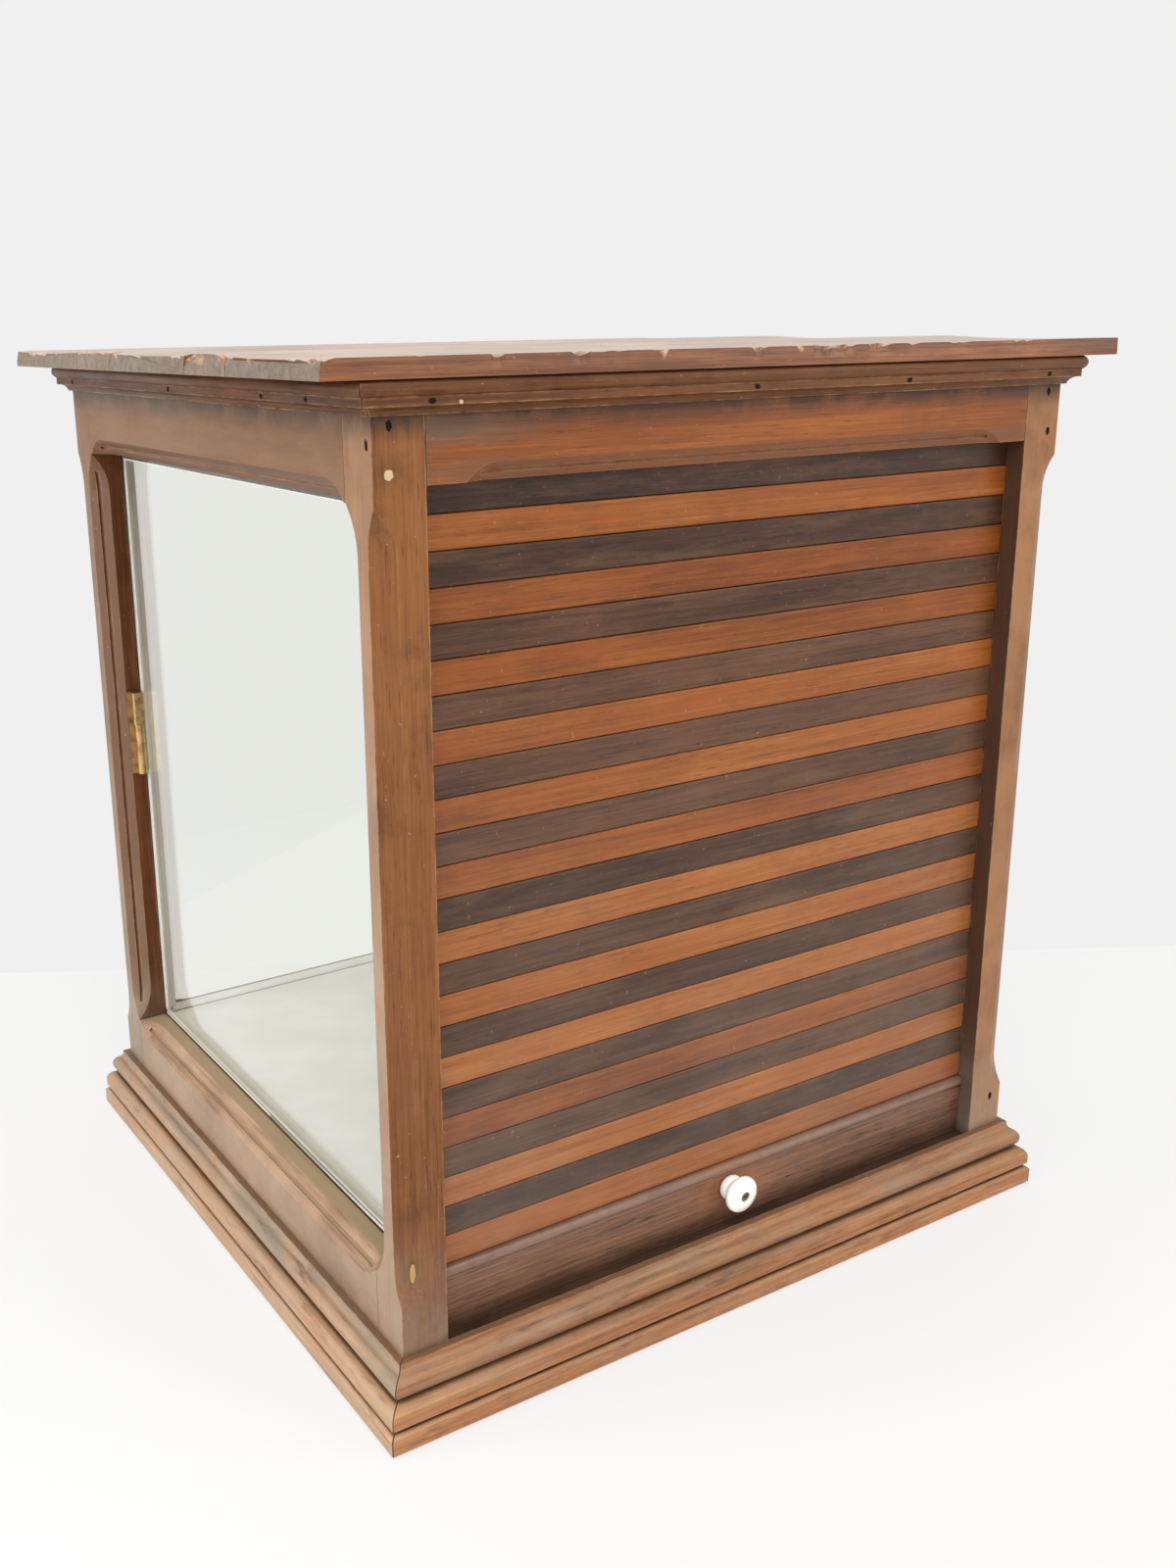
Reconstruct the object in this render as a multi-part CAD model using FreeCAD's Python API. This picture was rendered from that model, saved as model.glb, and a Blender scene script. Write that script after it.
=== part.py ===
import FreeCAD, Part
import math
import os

V = FreeCAD.Vector
os.makedirs("parts", exist_ok=True)

# Overall case, outer faces of the corner posts
CASE_W = 500.0
CASE_D = 466.0
POST = 30.0
FRAME_TOP = 595.0

# Plinth: an upper moulding on a lower board that has one groove
PLINTH_H = 49.0
PLINTH_SPLIT = 29.4
PLINTH_OUT = 18.4
PLINTH_MID_OUT = 17.0
PLINTH_NOSE_OUT = 12.2
PLINTH_NOSE_H = 13.6
PLINTH_LIP_OUT = 5.0
PLINTH_COVE = 3.0
PLINTH_QUIRK_OUT = 8.3
PLINTH_SHOULDER = 7.5
PLINTH_GROOVE_Z = 13.8
PLINTH_GROOVE_OUT = 13.8
PLINTH_GROOVE_LIP = 2.6
PLINTH_FOOT_EASE = 1.5

# Cornice under the top
CORNICE_H = 17.5
CORNICE_NOSE_OUT = 11.2
CORNICE_FILLET_OUT = 8.6
CORNICE_NOSE_H = 8.4
CORNICE_FILLET_H = 4.6
CORNICE_FOOT_OUT = 2.4

# Top boards, from the tambour side to the back
TOP_T = 11.0
TOP_LEFT_OVER = 31.5
TOP_RIGHT_OVER = 38.0
TOP_FRONT_OVER = 11.5
TOP_BOARD_SHARES = (0.223, 0.116, 0.250, 0.129, 0.282)
TOP_BACK_OVER = 25.0
BOARD_CUP = 1.1
BOARD_GAP = 0.4
BOARD_EDGE_R = 1.6

# Rails
SIDE_RAIL_H = 61.0
FRONT_RAIL_H = 52.0
SIDE_SILL_TOP = 89.0
SIDE_SILL_LOW = 6.0
FRONT_SILL_TOP = 45.5
TENON_LONG = 16.0
TENON_T = 7.0
TENON_SHOULDER = 8.0
FRONT_TENON_T = 5.0
TENON_FIT = 0.1
TENON_ROOT = 1.0
SIDE_TENON_IN = 12.0
BACK_TENON_IN = 9.0

# Stopped chamfers, each with a hollow curve at both ends
POST_CHAMFER_FACE = 12.5
POST_CHAMFER_SIDE = 7.5
POST_CHAMFER_FOOT = 31.0
POST_CHAMFER_HEAD = 62.0
POST_CHAMFER_STOP = 23.0
OPENING_CHAMFER = 11.3
OPENING_POST_STOP = 27.0
OPENING_RAIL_INSET = 2.0
OPENING_RAIL_STOP = 22.0
OPENING_GROOVE_R = 1.5
FRONT_MOULD_H = 9.6
FRONT_MOULD_DEEP = 6.5
FRONT_MOULD_INSET = 23.0
FRONT_MOULD_STOP = 21.0
FRONT_GROOVE_R = 1.1

# Tambour
SLAT_WIDE = 19.05
SLAT_GAP = 0.35
SLAT_T = 7.0
SLAT_ROUND = 1.1
SLAT_COVER = 2.6
TAMBOUR_RECESS = 14.0
TONGUE = 6.0
TRACK_FIT = 0.45
TRACK_RADIUS = 36.0
TRACK_UNDER_TOP = 4.0
TRACK_END_IN = 9.0
CANVAS_T = 0.8
CANVAS_INSET = 14.0
LIFT_RAIL_H = 42.6
LIFT_RAIL_PROUD = 3.0
LIFT_LIP_R = 3.4
LIFT_FACE_BACK = 0.6
LIFT_EASE = 1.5
LIFT_CLEAR = 0.3

# Porcelain knob
KNOB_X = 2.0
KNOB_UNDER_LIP = 0.2
KNOB_R = 12.5
KNOB_LONG = 17.0
KNOB_NECK_R = 7.4
KNOB_FOOT_R = 8.8
KNOB_FOOT_T = 5.6
KNOB_HEAD_T = 8.0
KNOB_RIM = 2.0
SCREW_R = 2.2
SCREW_HEAD_R = 3.4
SCREW_HEAD_T = 1.6
SCREW_SINK = 1.0
SCREW_SLOT = 0.9
SCREW_FIT = 0.15
NUT_R = 4.5
NUT_T = 2.6

# Panes and the beads that hold them from inside
PANE_SET = 8.0
PANE_GROOVE = 4.0
PANE_FIT = 0.3
GLASS_T = 3.0
BEAD = PANE_SET - GLASS_T - PANE_FIT

# Brass clips on the reveals beside each side pane
CLIP_LONG = 64.0
CLIP_ABOVE_MID = 13.5
CLIP_PLATE_T = 1.6
CLIP_WIDE = 11.0
CLIP_ROLL_R = 3.6
CLIP_SHARE = 0.4
CLIP_STEP = 1.4

# Floor, level with the bottom rails, the riser behind the lift rail, and the planks under the case
FLOOR_T = 8.0
CLEAT = 14.0
RISER_T = 8.0
FLOOR_FIT = 0.4
BOTTOM_PLANKS = 3
BOTTOM_GAP = 3.0

# Values worked out from the sizes above
HALF_ROOT = math.sqrt(0.5)
HALF_W = CASE_W / 2
HALF_D = CASE_D / 2
IN_X = HALF_W - POST
IN_Y = HALF_D - POST
SIDE_RAIL_LOW = FRAME_TOP - SIDE_RAIL_H
FRONT_RAIL_LOW = FRAME_TOP - FRONT_RAIL_H
CORNICE_LOW = FRAME_TOP - CORNICE_H
SLAT_FRONT = -HALF_D + TAMBOUR_RECESS
SLAT_BACK = SLAT_FRONT + SLAT_T
TRACK_FRONT = SLAT_FRONT - TRACK_FIT
TRACK_BACK = SLAT_BACK + TRACK_FIT
TRACK_TOP = FRAME_TOP - TRACK_UNDER_TOP
TRACK_LOW = TRACK_TOP - (TRACK_BACK - TRACK_FRONT)
TRACK_TURN_Z = TRACK_LOW - TRACK_RADIUS
LIFT_LOW = FRONT_SILL_TOP + LIFT_CLEAR
LIFT_TOP = LIFT_LOW + LIFT_RAIL_H
LIFT_FRONT = SLAT_FRONT - LIFT_RAIL_PROUD
LIFT_LIP_LOW = LIFT_TOP - 2 * LIFT_LIP_R
CURTAIN_TOP = FRONT_RAIL_LOW + SLAT_COVER
SLAT_COUNT = round((CURTAIN_TOP - LIFT_TOP) / SLAT_WIDE)
SLAT_PITCH = (CURTAIN_TOP - LIFT_TOP) / SLAT_COUNT
SLAT_HALF = IN_X + TONGUE
KNOB_SEAT = LIFT_FRONT + LIFT_FACE_BACK
KNOB_Z = LIFT_LIP_LOW - LIFT_EASE - KNOB_UNDER_LIP - KNOB_FOOT_R
CLIP_Z = (SIDE_SILL_TOP + SIDE_RAIL_LOW) / 2 + CLIP_ABOVE_MID
FRONT_RAIL_BACK = TRACK_FRONT


def box(x0, x1, y0, y1, z0, z1):
    return Part.makeBox(x1 - x0, y1 - y0, z1 - z0, V(x0, y0, z0))


def wire_face(points):
    return Part.Face(Part.makePolygon(points + [points[0]]))


def arc(a, mid, b):
    return Part.Arc(a, mid, b).toShape()


def line(a, b):
    return Part.LineSegment(a, b).toShape()


def save(name, solids):
    shape = solids if not isinstance(solids, list) else Part.Compound(solids)
    shape.exportStep("parts/" + name + ".step")


def turned(shape, degrees):
    copy = shape.copy()
    copy.rotate(V(0, 0, 0), V(0, 0, 1), degrees)
    return copy


def mirrored_x(shape):
    return shape.mirror(V(0, 0, 0), V(1, 0, 0))


def chamfer_cutter(start, along, leg_a, leg_b, long, stop, groove_r=0.0):
    """Waste of a stopped chamfer on the arris from start. The legs run from the arris into its two faces.

    Each stop is a hollow arc that leaves the arris at an angle and runs out level with the flat.
    """
    slope = leg_a * (1 / leg_a.Length ** 2) + leg_b * (1 / leg_b.Length ** 2)
    depth = 1 / slope.Length
    out = slope * -depth
    side = along.cross(out)
    radius = (stop ** 2 + depth ** 2) / (2 * depth)
    turn = math.atan2(stop, radius - depth) / 2
    mid_s = stop - radius * math.sin(turn)
    mid_t = radius - depth - radius * math.cos(turn)
    rise = depth
    at = lambda s, t: start + along * s + out * t
    edges = [
        line(at(0, rise), at(0, 0)),
        arc(at(0, 0), at(mid_s, mid_t), at(stop, -depth)),
        line(at(stop, -depth), at(long - stop, -depth)),
        arc(at(long - stop, -depth), at(long - mid_s, mid_t), at(long, 0)),
        line(at(long, 0), at(long, rise)),
        line(at(long, rise), at(0, rise)),
    ]
    face = Part.Face(Part.Wire(edges))
    wide = leg_a.Length + leg_b.Length
    face.translate(side * -wide)
    waste = face.extrude(side * (2 * wide))
    if groove_r:
        quarter_s = stop - radius * math.sin(turn / 2)
        quarter_t = radius - depth - radius * math.cos(turn / 2)
        middle = (leg_a + leg_b) * 0.5 + out * depth
        on = lambda s, t: at(s, t) + middle
        path = Part.Wire([
            arc(on(mid_s, mid_t), on(quarter_s, quarter_t), on(stop, -depth)),
            line(on(stop, -depth), on(long - stop, -depth)),
            arc(on(long - stop, -depth), on(long - quarter_s, quarter_t), on(long - mid_s, mid_t)),
        ])
        heading = along * math.cos(turn) - out * math.sin(turn)
        ring = Part.Wire(Part.makeCircle(groove_r, on(mid_s, mid_t), heading))
        waste = waste.fuse(path.makePipeShell([ring], True, False))
    return waste


def track_waste():
    """Space of the tambour's track at the left: up behind the front post, round a bend, and back under the top."""
    deep = SLAT_HALF + TRACK_FIT
    turn_y = TRACK_BACK + TRACK_RADIUS
    outer = TRACK_RADIUS + TRACK_BACK - TRACK_FRONT
    half = math.sqrt(0.5)
    end_y = HALF_D - TRACK_END_IN
    at = lambda y, z: V(-deep, y, z)
    edges = [
        line(at(TRACK_FRONT, FRONT_SILL_TOP), at(TRACK_FRONT, TRACK_TURN_Z)),
        arc(
            at(TRACK_FRONT, TRACK_TURN_Z),
            at(turn_y - outer * half, TRACK_TURN_Z + outer * half),
            at(turn_y, TRACK_TOP),
        ),
        line(at(turn_y, TRACK_TOP), at(end_y, TRACK_TOP)),
        line(at(end_y, TRACK_TOP), at(end_y, TRACK_LOW)),
        line(at(end_y, TRACK_LOW), at(turn_y, TRACK_LOW)),
        arc(
            at(turn_y, TRACK_LOW),
            at(turn_y - TRACK_RADIUS * half, TRACK_TURN_Z + TRACK_RADIUS * half),
            at(TRACK_BACK, TRACK_TURN_Z),
        ),
        line(at(TRACK_BACK, TRACK_TURN_Z), at(TRACK_BACK, FRONT_SILL_TOP)),
        line(at(TRACK_BACK, FRONT_SILL_TOP), at(TRACK_FRONT, FRONT_SILL_TOP)),
    ]
    return Part.Face(Part.Wire(edges)).extrude(V(TONGUE + TRACK_FIT + TENON_ROOT, 0, 0))


def tenon_y(x0, x1, z0, z1, y, sign, grow):
    a, b = sorted((y - sign * TENON_ROOT, y + sign * (TENON_LONG + grow)))
    return box(x0 - grow, x1 + grow, a, b, z0 - grow, z1 + grow)


def tenon_x(y0, y1, z0, z1, x, sign, grow):
    a, b = sorted((x - sign * TENON_ROOT, x + sign * (TENON_LONG + grow)))
    return box(a, b, y0 - grow, y1 + grow, z0 - grow, z1 + grow)


def side_tenons(low, high, grow):
    mid = -HALF_W + SIDE_TENON_IN
    x0, x1 = mid - TENON_T / 2, mid + TENON_T / 2
    zs = (low + TENON_SHOULDER, high - TENON_SHOULDER)
    return [tenon_y(x0, x1, zs[0], zs[1], sign * IN_Y, sign, grow) for sign in (-1, 1)]


def back_tenons(low, high, grow):
    mid = HALF_D - BACK_TENON_IN
    zs = (low + TENON_SHOULDER, high - TENON_SHOULDER)
    y0, y1 = mid - TENON_T / 2, mid + TENON_T / 2
    return [tenon_x(y0, y1, zs[0], zs[1], sign * IN_X, sign, grow) for sign in (-1, 1)]


def front_tenons(low, high, grow):
    mid = (-HALF_D + FRONT_RAIL_BACK) / 2
    zs = (low + TENON_SHOULDER, high - TENON_SHOULDER)
    y0, y1 = mid - FRONT_TENON_T / 2, mid + FRONT_TENON_T / 2
    return [tenon_x(y0, y1, zs[0], zs[1], sign * IN_X, sign, grow) for sign in (-1, 1)]


def left_groove():
    x0 = -IN_X - PANE_SET - PANE_FIT
    x1 = -IN_X - PANE_SET + GLASS_T + PANE_FIT
    y = IN_Y + PANE_GROOVE
    return box(x0, x1, -y, y, SIDE_SILL_TOP - PANE_GROOVE, SIDE_RAIL_LOW + PANE_GROOVE)


def back_groove():
    x = IN_X + PANE_GROOVE
    y0 = IN_Y + PANE_SET - GLASS_T - PANE_FIT
    y1 = IN_Y + PANE_SET + PANE_FIT
    return box(-x, x, y0, y1, SIDE_SILL_TOP - PANE_GROOVE, SIDE_RAIL_LOW + PANE_GROOVE)


def opening_chamfers(half, out):
    """Grooved chamfers round an opening that faces -Y, on its two posts and on both rails."""
    leg = OPENING_CHAMFER
    inset = OPENING_RAIL_INSET
    high = SIDE_RAIL_LOW - SIDE_SILL_TOP
    wide = 2 * (half - inset)
    back = V(0, leg, 0)
    up = V(0, 0, 1)
    across = V(1, 0, 0)
    cuts = []
    for sign in (-1, 1):
        start = V(sign * half, -out, SIDE_SILL_TOP)
        into = V(sign * leg, 0, 0)
        cuts.append(chamfer_cutter(start, up, into, back, high, OPENING_POST_STOP, OPENING_GROOVE_R))
    for z, sign in ((SIDE_SILL_TOP, -1), (SIDE_RAIL_LOW, 1)):
        start = V(-half + inset, -out, z)
        into = V(0, 0, sign * leg)
        cuts.append(chamfer_cutter(start, across, into, back, wide, OPENING_RAIL_STOP, OPENING_GROOVE_R))
    return cuts


def left_chamfers():
    return [turned(cut, -90) for cut in opening_chamfers(IN_Y, HALF_W)]


def back_chamfers():
    return [turned(cut, 180) for cut in opening_chamfers(IN_X, HALF_D)]


def corner_chamfer(y_sign):
    """Chamfer on the outer corner of a left post, wider on its front or back than on its side."""
    low = PLINTH_H + POST_CHAMFER_FOOT
    high = FRAME_TOP - POST_CHAMFER_HEAD
    start = V(-HALF_W, y_sign * HALF_D, low)
    face = V(POST_CHAMFER_FACE, 0, 0)
    side = V(0, -y_sign * POST_CHAMFER_SIDE, 0)
    return chamfer_cutter(start, V(0, 0, 1), face, side, high - low, POST_CHAMFER_STOP)


def left_post(y_sign):
    y0, y1 = sorted((y_sign * IN_Y, y_sign * HALF_D))
    post = box(-HALF_W, -IN_X, y0, y1, 0, FRAME_TOP)
    waste = [left_groove(), corner_chamfer(y_sign), track_waste()] + left_chamfers()
    waste += side_tenons(SIDE_RAIL_LOW, FRAME_TOP, TENON_FIT)
    waste += side_tenons(SIDE_SILL_LOW, SIDE_SILL_TOP, TENON_FIT)
    if y_sign > 0:
        waste += [back_groove()] + back_chamfers()
        waste += back_tenons(SIDE_RAIL_LOW, FRAME_TOP, TENON_FIT)
        waste += back_tenons(SIDE_SILL_LOW, SIDE_SILL_TOP, TENON_FIT)
    else:
        waste += front_tenons(FRONT_RAIL_LOW, FRAME_TOP, TENON_FIT)
        waste += front_tenons(SIDE_SILL_LOW, FRONT_SILL_TOP, TENON_FIT)
    return post.cut(waste)


def left_rail(low, high):
    rail = box(-HALF_W, -IN_X, -IN_Y, IN_Y, low, high)
    rail = rail.fuse(side_tenons(low, high, 0.0))
    return rail.cut([left_groove(), track_waste()] + left_chamfers()).removeSplitter()


def back_rail(low, high):
    rail = box(-IN_X, IN_X, IN_Y, HALF_D, low, high)
    rail = rail.fuse(back_tenons(low, high, 0.0))
    return rail.cut([back_groove()] + back_chamfers()).removeSplitter()


def front_rail():
    rail = box(-IN_X, IN_X, -HALF_D, FRONT_RAIL_BACK, FRONT_RAIL_LOW, FRAME_TOP)
    rail = rail.fuse(front_tenons(FRONT_RAIL_LOW, FRAME_TOP, 0.0))
    start = V(-IN_X + FRONT_MOULD_INSET, -HALF_D, FRONT_RAIL_LOW)
    long = 2 * (IN_X - FRONT_MOULD_INSET)
    up = V(0, 0, FRONT_MOULD_H)
    back = V(0, FRONT_MOULD_DEEP, 0)
    moulding = chamfer_cutter(start, V(1, 0, 0), up, back, long, FRONT_MOULD_STOP, FRONT_GROOVE_R)
    return rail.cut(moulding).removeSplitter()


def front_sill():
    sill = box(-IN_X, IN_X, -HALF_D, -IN_Y, SIDE_SILL_LOW, FRONT_SILL_TOP)
    return sill.fuse(front_tenons(SIDE_SILL_LOW, FRONT_SILL_TOP, 0.0)).removeSplitter()


def mitred_stick(profile, half):
    """A moulding along the front, its section given as edges in the YZ plane, with both ends mitred."""
    reach = half + 60.0
    stick = Part.Face(Part.Wire(profile))
    stick.translate(V(-reach, 0, 0))
    stick = stick.extrude(V(2 * reach, 0, 0))
    far = 80.0
    inner = 10.0
    for sign in (-1, 1):
        outline = [
            V(sign * (half - inner), inner, -1.0),
            V(sign * (half + far), -far, -1.0),
            V(sign * (half + 2 * far), -far, -1.0),
            V(sign * (half + 2 * far), inner, -1.0),
        ]
        stick = stick.cut(wire_face(outline).extrude(V(0, 0, FRAME_TOP + 10.0)))
    return stick


def plinth_upper_profile():
    """A flat lip with a sharp arris, a shallow cove, then a round nose that tucks in to a quirk."""
    at = lambda out, z: V(0, -out, z)
    top = PLINTH_H
    low = PLINTH_SPLIT
    lip, quirk = PLINTH_LIP_OUT, PLINTH_QUIRK_OUT
    neck = lip + PLINTH_COVE
    neck_z = low + PLINTH_NOSE_H
    hollow = at(lip + PLINTH_COVE * (1 - HALF_ROOT), neck_z + (top - neck_z) * (1 - HALF_ROOT))
    return [
        line(at(0, low), at(0, top)),
        line(at(0, top), at(lip, top)),
        arc(at(lip, top), hollow, at(neck, neck_z)),
        arc(at(neck, neck_z), at(PLINTH_NOSE_OUT, low + PLINTH_NOSE_H / 2), at(quirk, low)),
        line(at(quirk, low), at(0, low)),
    ]


def round_edge(at, out0, z0, out1, z1):
    """A quarter-round from a level surface at out0, z0 over to an upright one at out1, z1."""
    mid = at(out0 + (out1 - out0) * HALF_ROOT, z1 + (z0 - z1) * HALF_ROOT)
    return arc(at(out0, z0), mid, at(out1, z1))


def plinth_lower_profile():
    """Two bands with a round top edge each, parted by a groove."""
    at = lambda out, z: V(0, -out, z)
    top = PLINTH_SPLIT
    mid, low = PLINTH_MID_OUT, PLINTH_OUT
    shoulder = top - PLINTH_SHOULDER
    groove, groove_out = PLINTH_GROOVE_Z, PLINTH_GROOVE_OUT
    lip = PLINTH_GROOVE_LIP
    ease = PLINTH_FOOT_EASE
    return [
        line(at(0, 0), at(0, top)),
        line(at(0, top), at(PLINTH_QUIRK_OUT, top)),
        round_edge(at, PLINTH_QUIRK_OUT, top, mid, shoulder),
        line(at(mid, shoulder), at(mid, groove + lip)),
        line(at(mid, groove + lip), at(groove_out, groove)),
        round_edge(at, groove_out, groove, low, groove - lip),
        line(at(low, groove - lip), at(low, ease)),
        line(at(low, ease), at(low - ease, 0)),
        line(at(low - ease, 0), at(0, 0)),
    ]


def cornice_profile():
    """Rounded nose under the top, an upright fillet, then a cove down to a small foot."""
    at = lambda out, z: V(0, -out, z)
    top, low = FRAME_TOP, CORNICE_LOW
    nose = CORNICE_NOSE_OUT
    inner = CORNICE_FILLET_OUT
    fillet_top = top - CORNICE_NOSE_H
    fillet_low = fillet_top - CORNICE_FILLET_H
    foot = CORNICE_FOOT_OUT
    hollow = at(foot + (inner - foot) * (1 - HALF_ROOT), fillet_low - (fillet_low - low) * (1 - HALF_ROOT))
    return [
        line(at(0, low), at(0, top)),
        line(at(0, top), at(inner, top)),
        arc(at(inner, top), at(nose, top - CORNICE_NOSE_H / 2), at(inner, fillet_top)),
        line(at(inner, fillet_top), at(inner, fillet_low)),
        arc(at(inner, fillet_low), hollow, at(foot, low)),
        line(at(foot, low), at(0, low)),
    ]


def moulding_ring(name, profile):
    """The same moulding on all four sides, mitred at the corners."""
    sides = (("front", 0, HALF_W, HALF_D), ("right", 90, HALF_D, HALF_W))
    sides += (("back", 180, HALF_W, HALF_D), ("left", 270, HALF_D, HALF_W))
    for side, angle, half, out in sides:
        stick = mitred_stick(profile(), half)
        stick.translate(V(0, -out, 0))
        save(name + "_" + side, turned(stick, angle))


def top_board(y0, y1, cup):
    """A plank with its grain along the tambour's width, its upper face cupped, its arrises worn round."""
    x0 = -HALF_W - TOP_LEFT_OVER
    x1 = HALF_W + TOP_RIGHT_OVER
    low, high = FRAME_TOP, FRAME_TOP + TOP_T
    at = lambda y, z: V(x0, y, z)
    r = BOARD_EDGE_R
    edges = [
        line(at(y0, low), at(y0, high - r)),
        line(at(y0, high - r), at(y0 + r, high)),
        arc(at(y0 + r, high), at((y0 + y1) / 2, high - cup), at(y1 - r, high)),
        line(at(y1 - r, high), at(y1, high - r)),
        line(at(y1, high - r), at(y1, low)),
        line(at(y1, low), at(y0, low)),
    ]
    return Part.Face(Part.Wire(edges)).extrude(V(x1 - x0, 0, 0))


def top_boards():
    front = -HALF_D - TOP_FRONT_OVER
    back = HALF_D + TOP_BACK_OVER
    total = sum(TOP_BOARD_SHARES)
    y = front
    for i, share in enumerate(TOP_BOARD_SHARES):
        end = y + (back - front) * share / total
        cup = BOARD_CUP if i % 2 == 0 else -BOARD_CUP
        save("top_board_%d" % (i + 1), top_board(y, end - BOARD_GAP, cup))
        y = end


def pane(half_wide):
    """A pane facing -Y with its inner face on the plane Y = 0, as large as its groove less a fitting gap."""
    reach = PANE_GROOVE - PANE_FIT
    half = half_wide + reach
    return box(-half, half, 0, GLASS_T, SIDE_SILL_TOP - reach, SIDE_RAIL_LOW + reach)


def bead_ring(half):
    """Four quarter-round beads against the inner face of a pane."""
    z0 = SIDE_SILL_TOP
    z1 = SIDE_RAIL_LOW
    root = math.sqrt(0.5)
    inside = V(0, -1, 0)

    def quarter(start, along, inward, long):
        a = start + inward * BEAD
        b = start + inside * BEAD
        mid = start + inward * (BEAD * root) + inside * (BEAD * root)
        face = Part.Face(Part.Wire([line(start, a), arc(a, mid, b), line(b, start)]))
        return face.extrude(along * long)

    upright = z1 - z0 - 2 * BEAD
    return [
        quarter(V(-half, 0, z0), V(1, 0, 0), V(0, 0, 1), 2 * half),
        quarter(V(-half, 0, z1), V(1, 0, 0), V(0, 0, -1), 2 * half),
        quarter(V(-half, 0, z0 + BEAD), V(0, 0, 1), V(1, 0, 0), upright),
        quarter(V(half, 0, z0 + BEAD), V(0, 0, 1), V(-1, 0, 0), upright),
    ]


def at_back(shape):
    copy = shape.copy()
    copy.translate(V(0, IN_Y + PANE_SET - GLASS_T, 0))
    return copy


def at_left(shape):
    copy = turned(shape, 90)
    copy.translate(V(-(IN_X + PANE_SET - GLASS_T), 0, 0))
    return copy


def slat(index):
    """One slat counted up from the lift rail, its front arrises eased."""
    z0 = LIFT_TOP + index * SLAT_PITCH + SLAT_GAP
    z1 = LIFT_TOP + (index + 1) * SLAT_PITCH
    r = SLAT_ROUND
    half = math.sqrt(0.5)
    at = lambda y, z: V(-SLAT_HALF, y, z)
    f, b = SLAT_FRONT, SLAT_BACK
    edges = [
        line(at(b, z0), at(b, z1)),
        line(at(b, z1), at(f + r, z1)),
        arc(at(f + r, z1), at(f + r - r * half, z1 - r + r * half), at(f, z1 - r)),
        line(at(f, z1 - r), at(f, z0 + r)),
        arc(at(f, z0 + r), at(f + r - r * half, z0 + r - r * half), at(f + r, z0)),
        line(at(f + r, z0), at(b, z0)),
    ]
    return Part.Face(Part.Wire(edges)).extrude(V(2 * SLAT_HALF, 0, 0))


def canvas():
    x = IN_X - CANVAS_INSET
    return box(-x, x, SLAT_BACK, SLAT_BACK + CANVAS_T, LIFT_TOP + SLAT_GAP, CURTAIN_TOP)


def lift_rail():
    """Thicker bottom rail of the tambour, with a round lip along its top and a tongue at each end."""
    x = IN_X - LIFT_CLEAR
    at = lambda y, z: V(-x, y, z)
    face_y = KNOB_SEAT
    lip_root = LIFT_FRONT + LIFT_EASE
    lip_nose = at(LIFT_FRONT - LIFT_LIP_R / 2, LIFT_TOP - LIFT_LIP_R)
    edges = [
        line(at(SLAT_BACK, LIFT_LOW), at(SLAT_BACK, LIFT_TOP)),
        line(at(SLAT_BACK, LIFT_TOP), at(lip_root, LIFT_TOP)),
        arc(at(lip_root, LIFT_TOP), lip_nose, at(lip_root, LIFT_LIP_LOW)),
        line(at(lip_root, LIFT_LIP_LOW), at(face_y, LIFT_LIP_LOW - LIFT_EASE)),
        line(at(face_y, LIFT_LIP_LOW - LIFT_EASE), at(face_y, LIFT_LOW)),
        line(at(face_y, LIFT_LOW), at(SLAT_BACK, LIFT_LOW)),
    ]
    rail = Part.Face(Part.Wire(edges)).extrude(V(2 * x, 0, 0))
    rail = rail.fuse(box(-SLAT_HALF, SLAT_HALF, SLAT_FRONT, SLAT_BACK, LIFT_LOW, LIFT_TOP))
    start = V(KNOB_X, KNOB_SEAT - KNOB_LONG, KNOB_Z)
    hole = Part.makeCylinder(SCREW_R + SCREW_FIT, KNOB_LONG + POST, start, V(0, 1, 0))
    return rail.cut(hole).removeSplitter()


def knob():
    """Turned porcelain: a bulb on the rail, a waist, and a wide domed head with a recess for the screw."""
    at = lambda r, out: V(KNOB_X + r, KNOB_SEAT - out, KNOB_Z)
    head = KNOB_LONG - KNOB_HEAD_T
    hole = SCREW_R + SCREW_FIT
    sink = SCREW_HEAD_R + SCREW_FIT
    rim_r = KNOB_R - KNOB_RIM
    rim_out = KNOB_LONG - KNOB_RIM
    under = head + KNOB_RIM / 2
    dome = at((rim_r + sink) / 2, KNOB_LONG - KNOB_RIM / 4)
    neck, foot = KNOB_NECK_R, KNOB_FOOT_T
    seat = KNOB_LONG - SCREW_SINK - SCREW_HEAD_T
    cove = at(neck + (rim_r - neck) * (1 - HALF_ROOT), foot + (under - foot) * HALF_ROOT)
    edges = [
        line(at(hole, 0), at(neck, 0)),
        arc(at(neck, 0), at(KNOB_FOOT_R, foot / 2), at(neck, foot)),
        arc(at(neck, foot), cove, at(rim_r, under)),
        arc(at(rim_r, under), at(KNOB_R, (under + rim_out) / 2), at(rim_r, rim_out)),
        arc(at(rim_r, rim_out), dome, at(sink, KNOB_LONG)),
        line(at(sink, KNOB_LONG), at(sink, seat)),
        line(at(sink, seat), at(hole, seat)),
        line(at(hole, seat), at(hole, 0)),
    ]
    face = Part.Face(Part.Wire(edges))
    return face.revolve(V(KNOB_X, KNOB_SEAT, KNOB_Z), V(0, 1, 0), 360)


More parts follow.
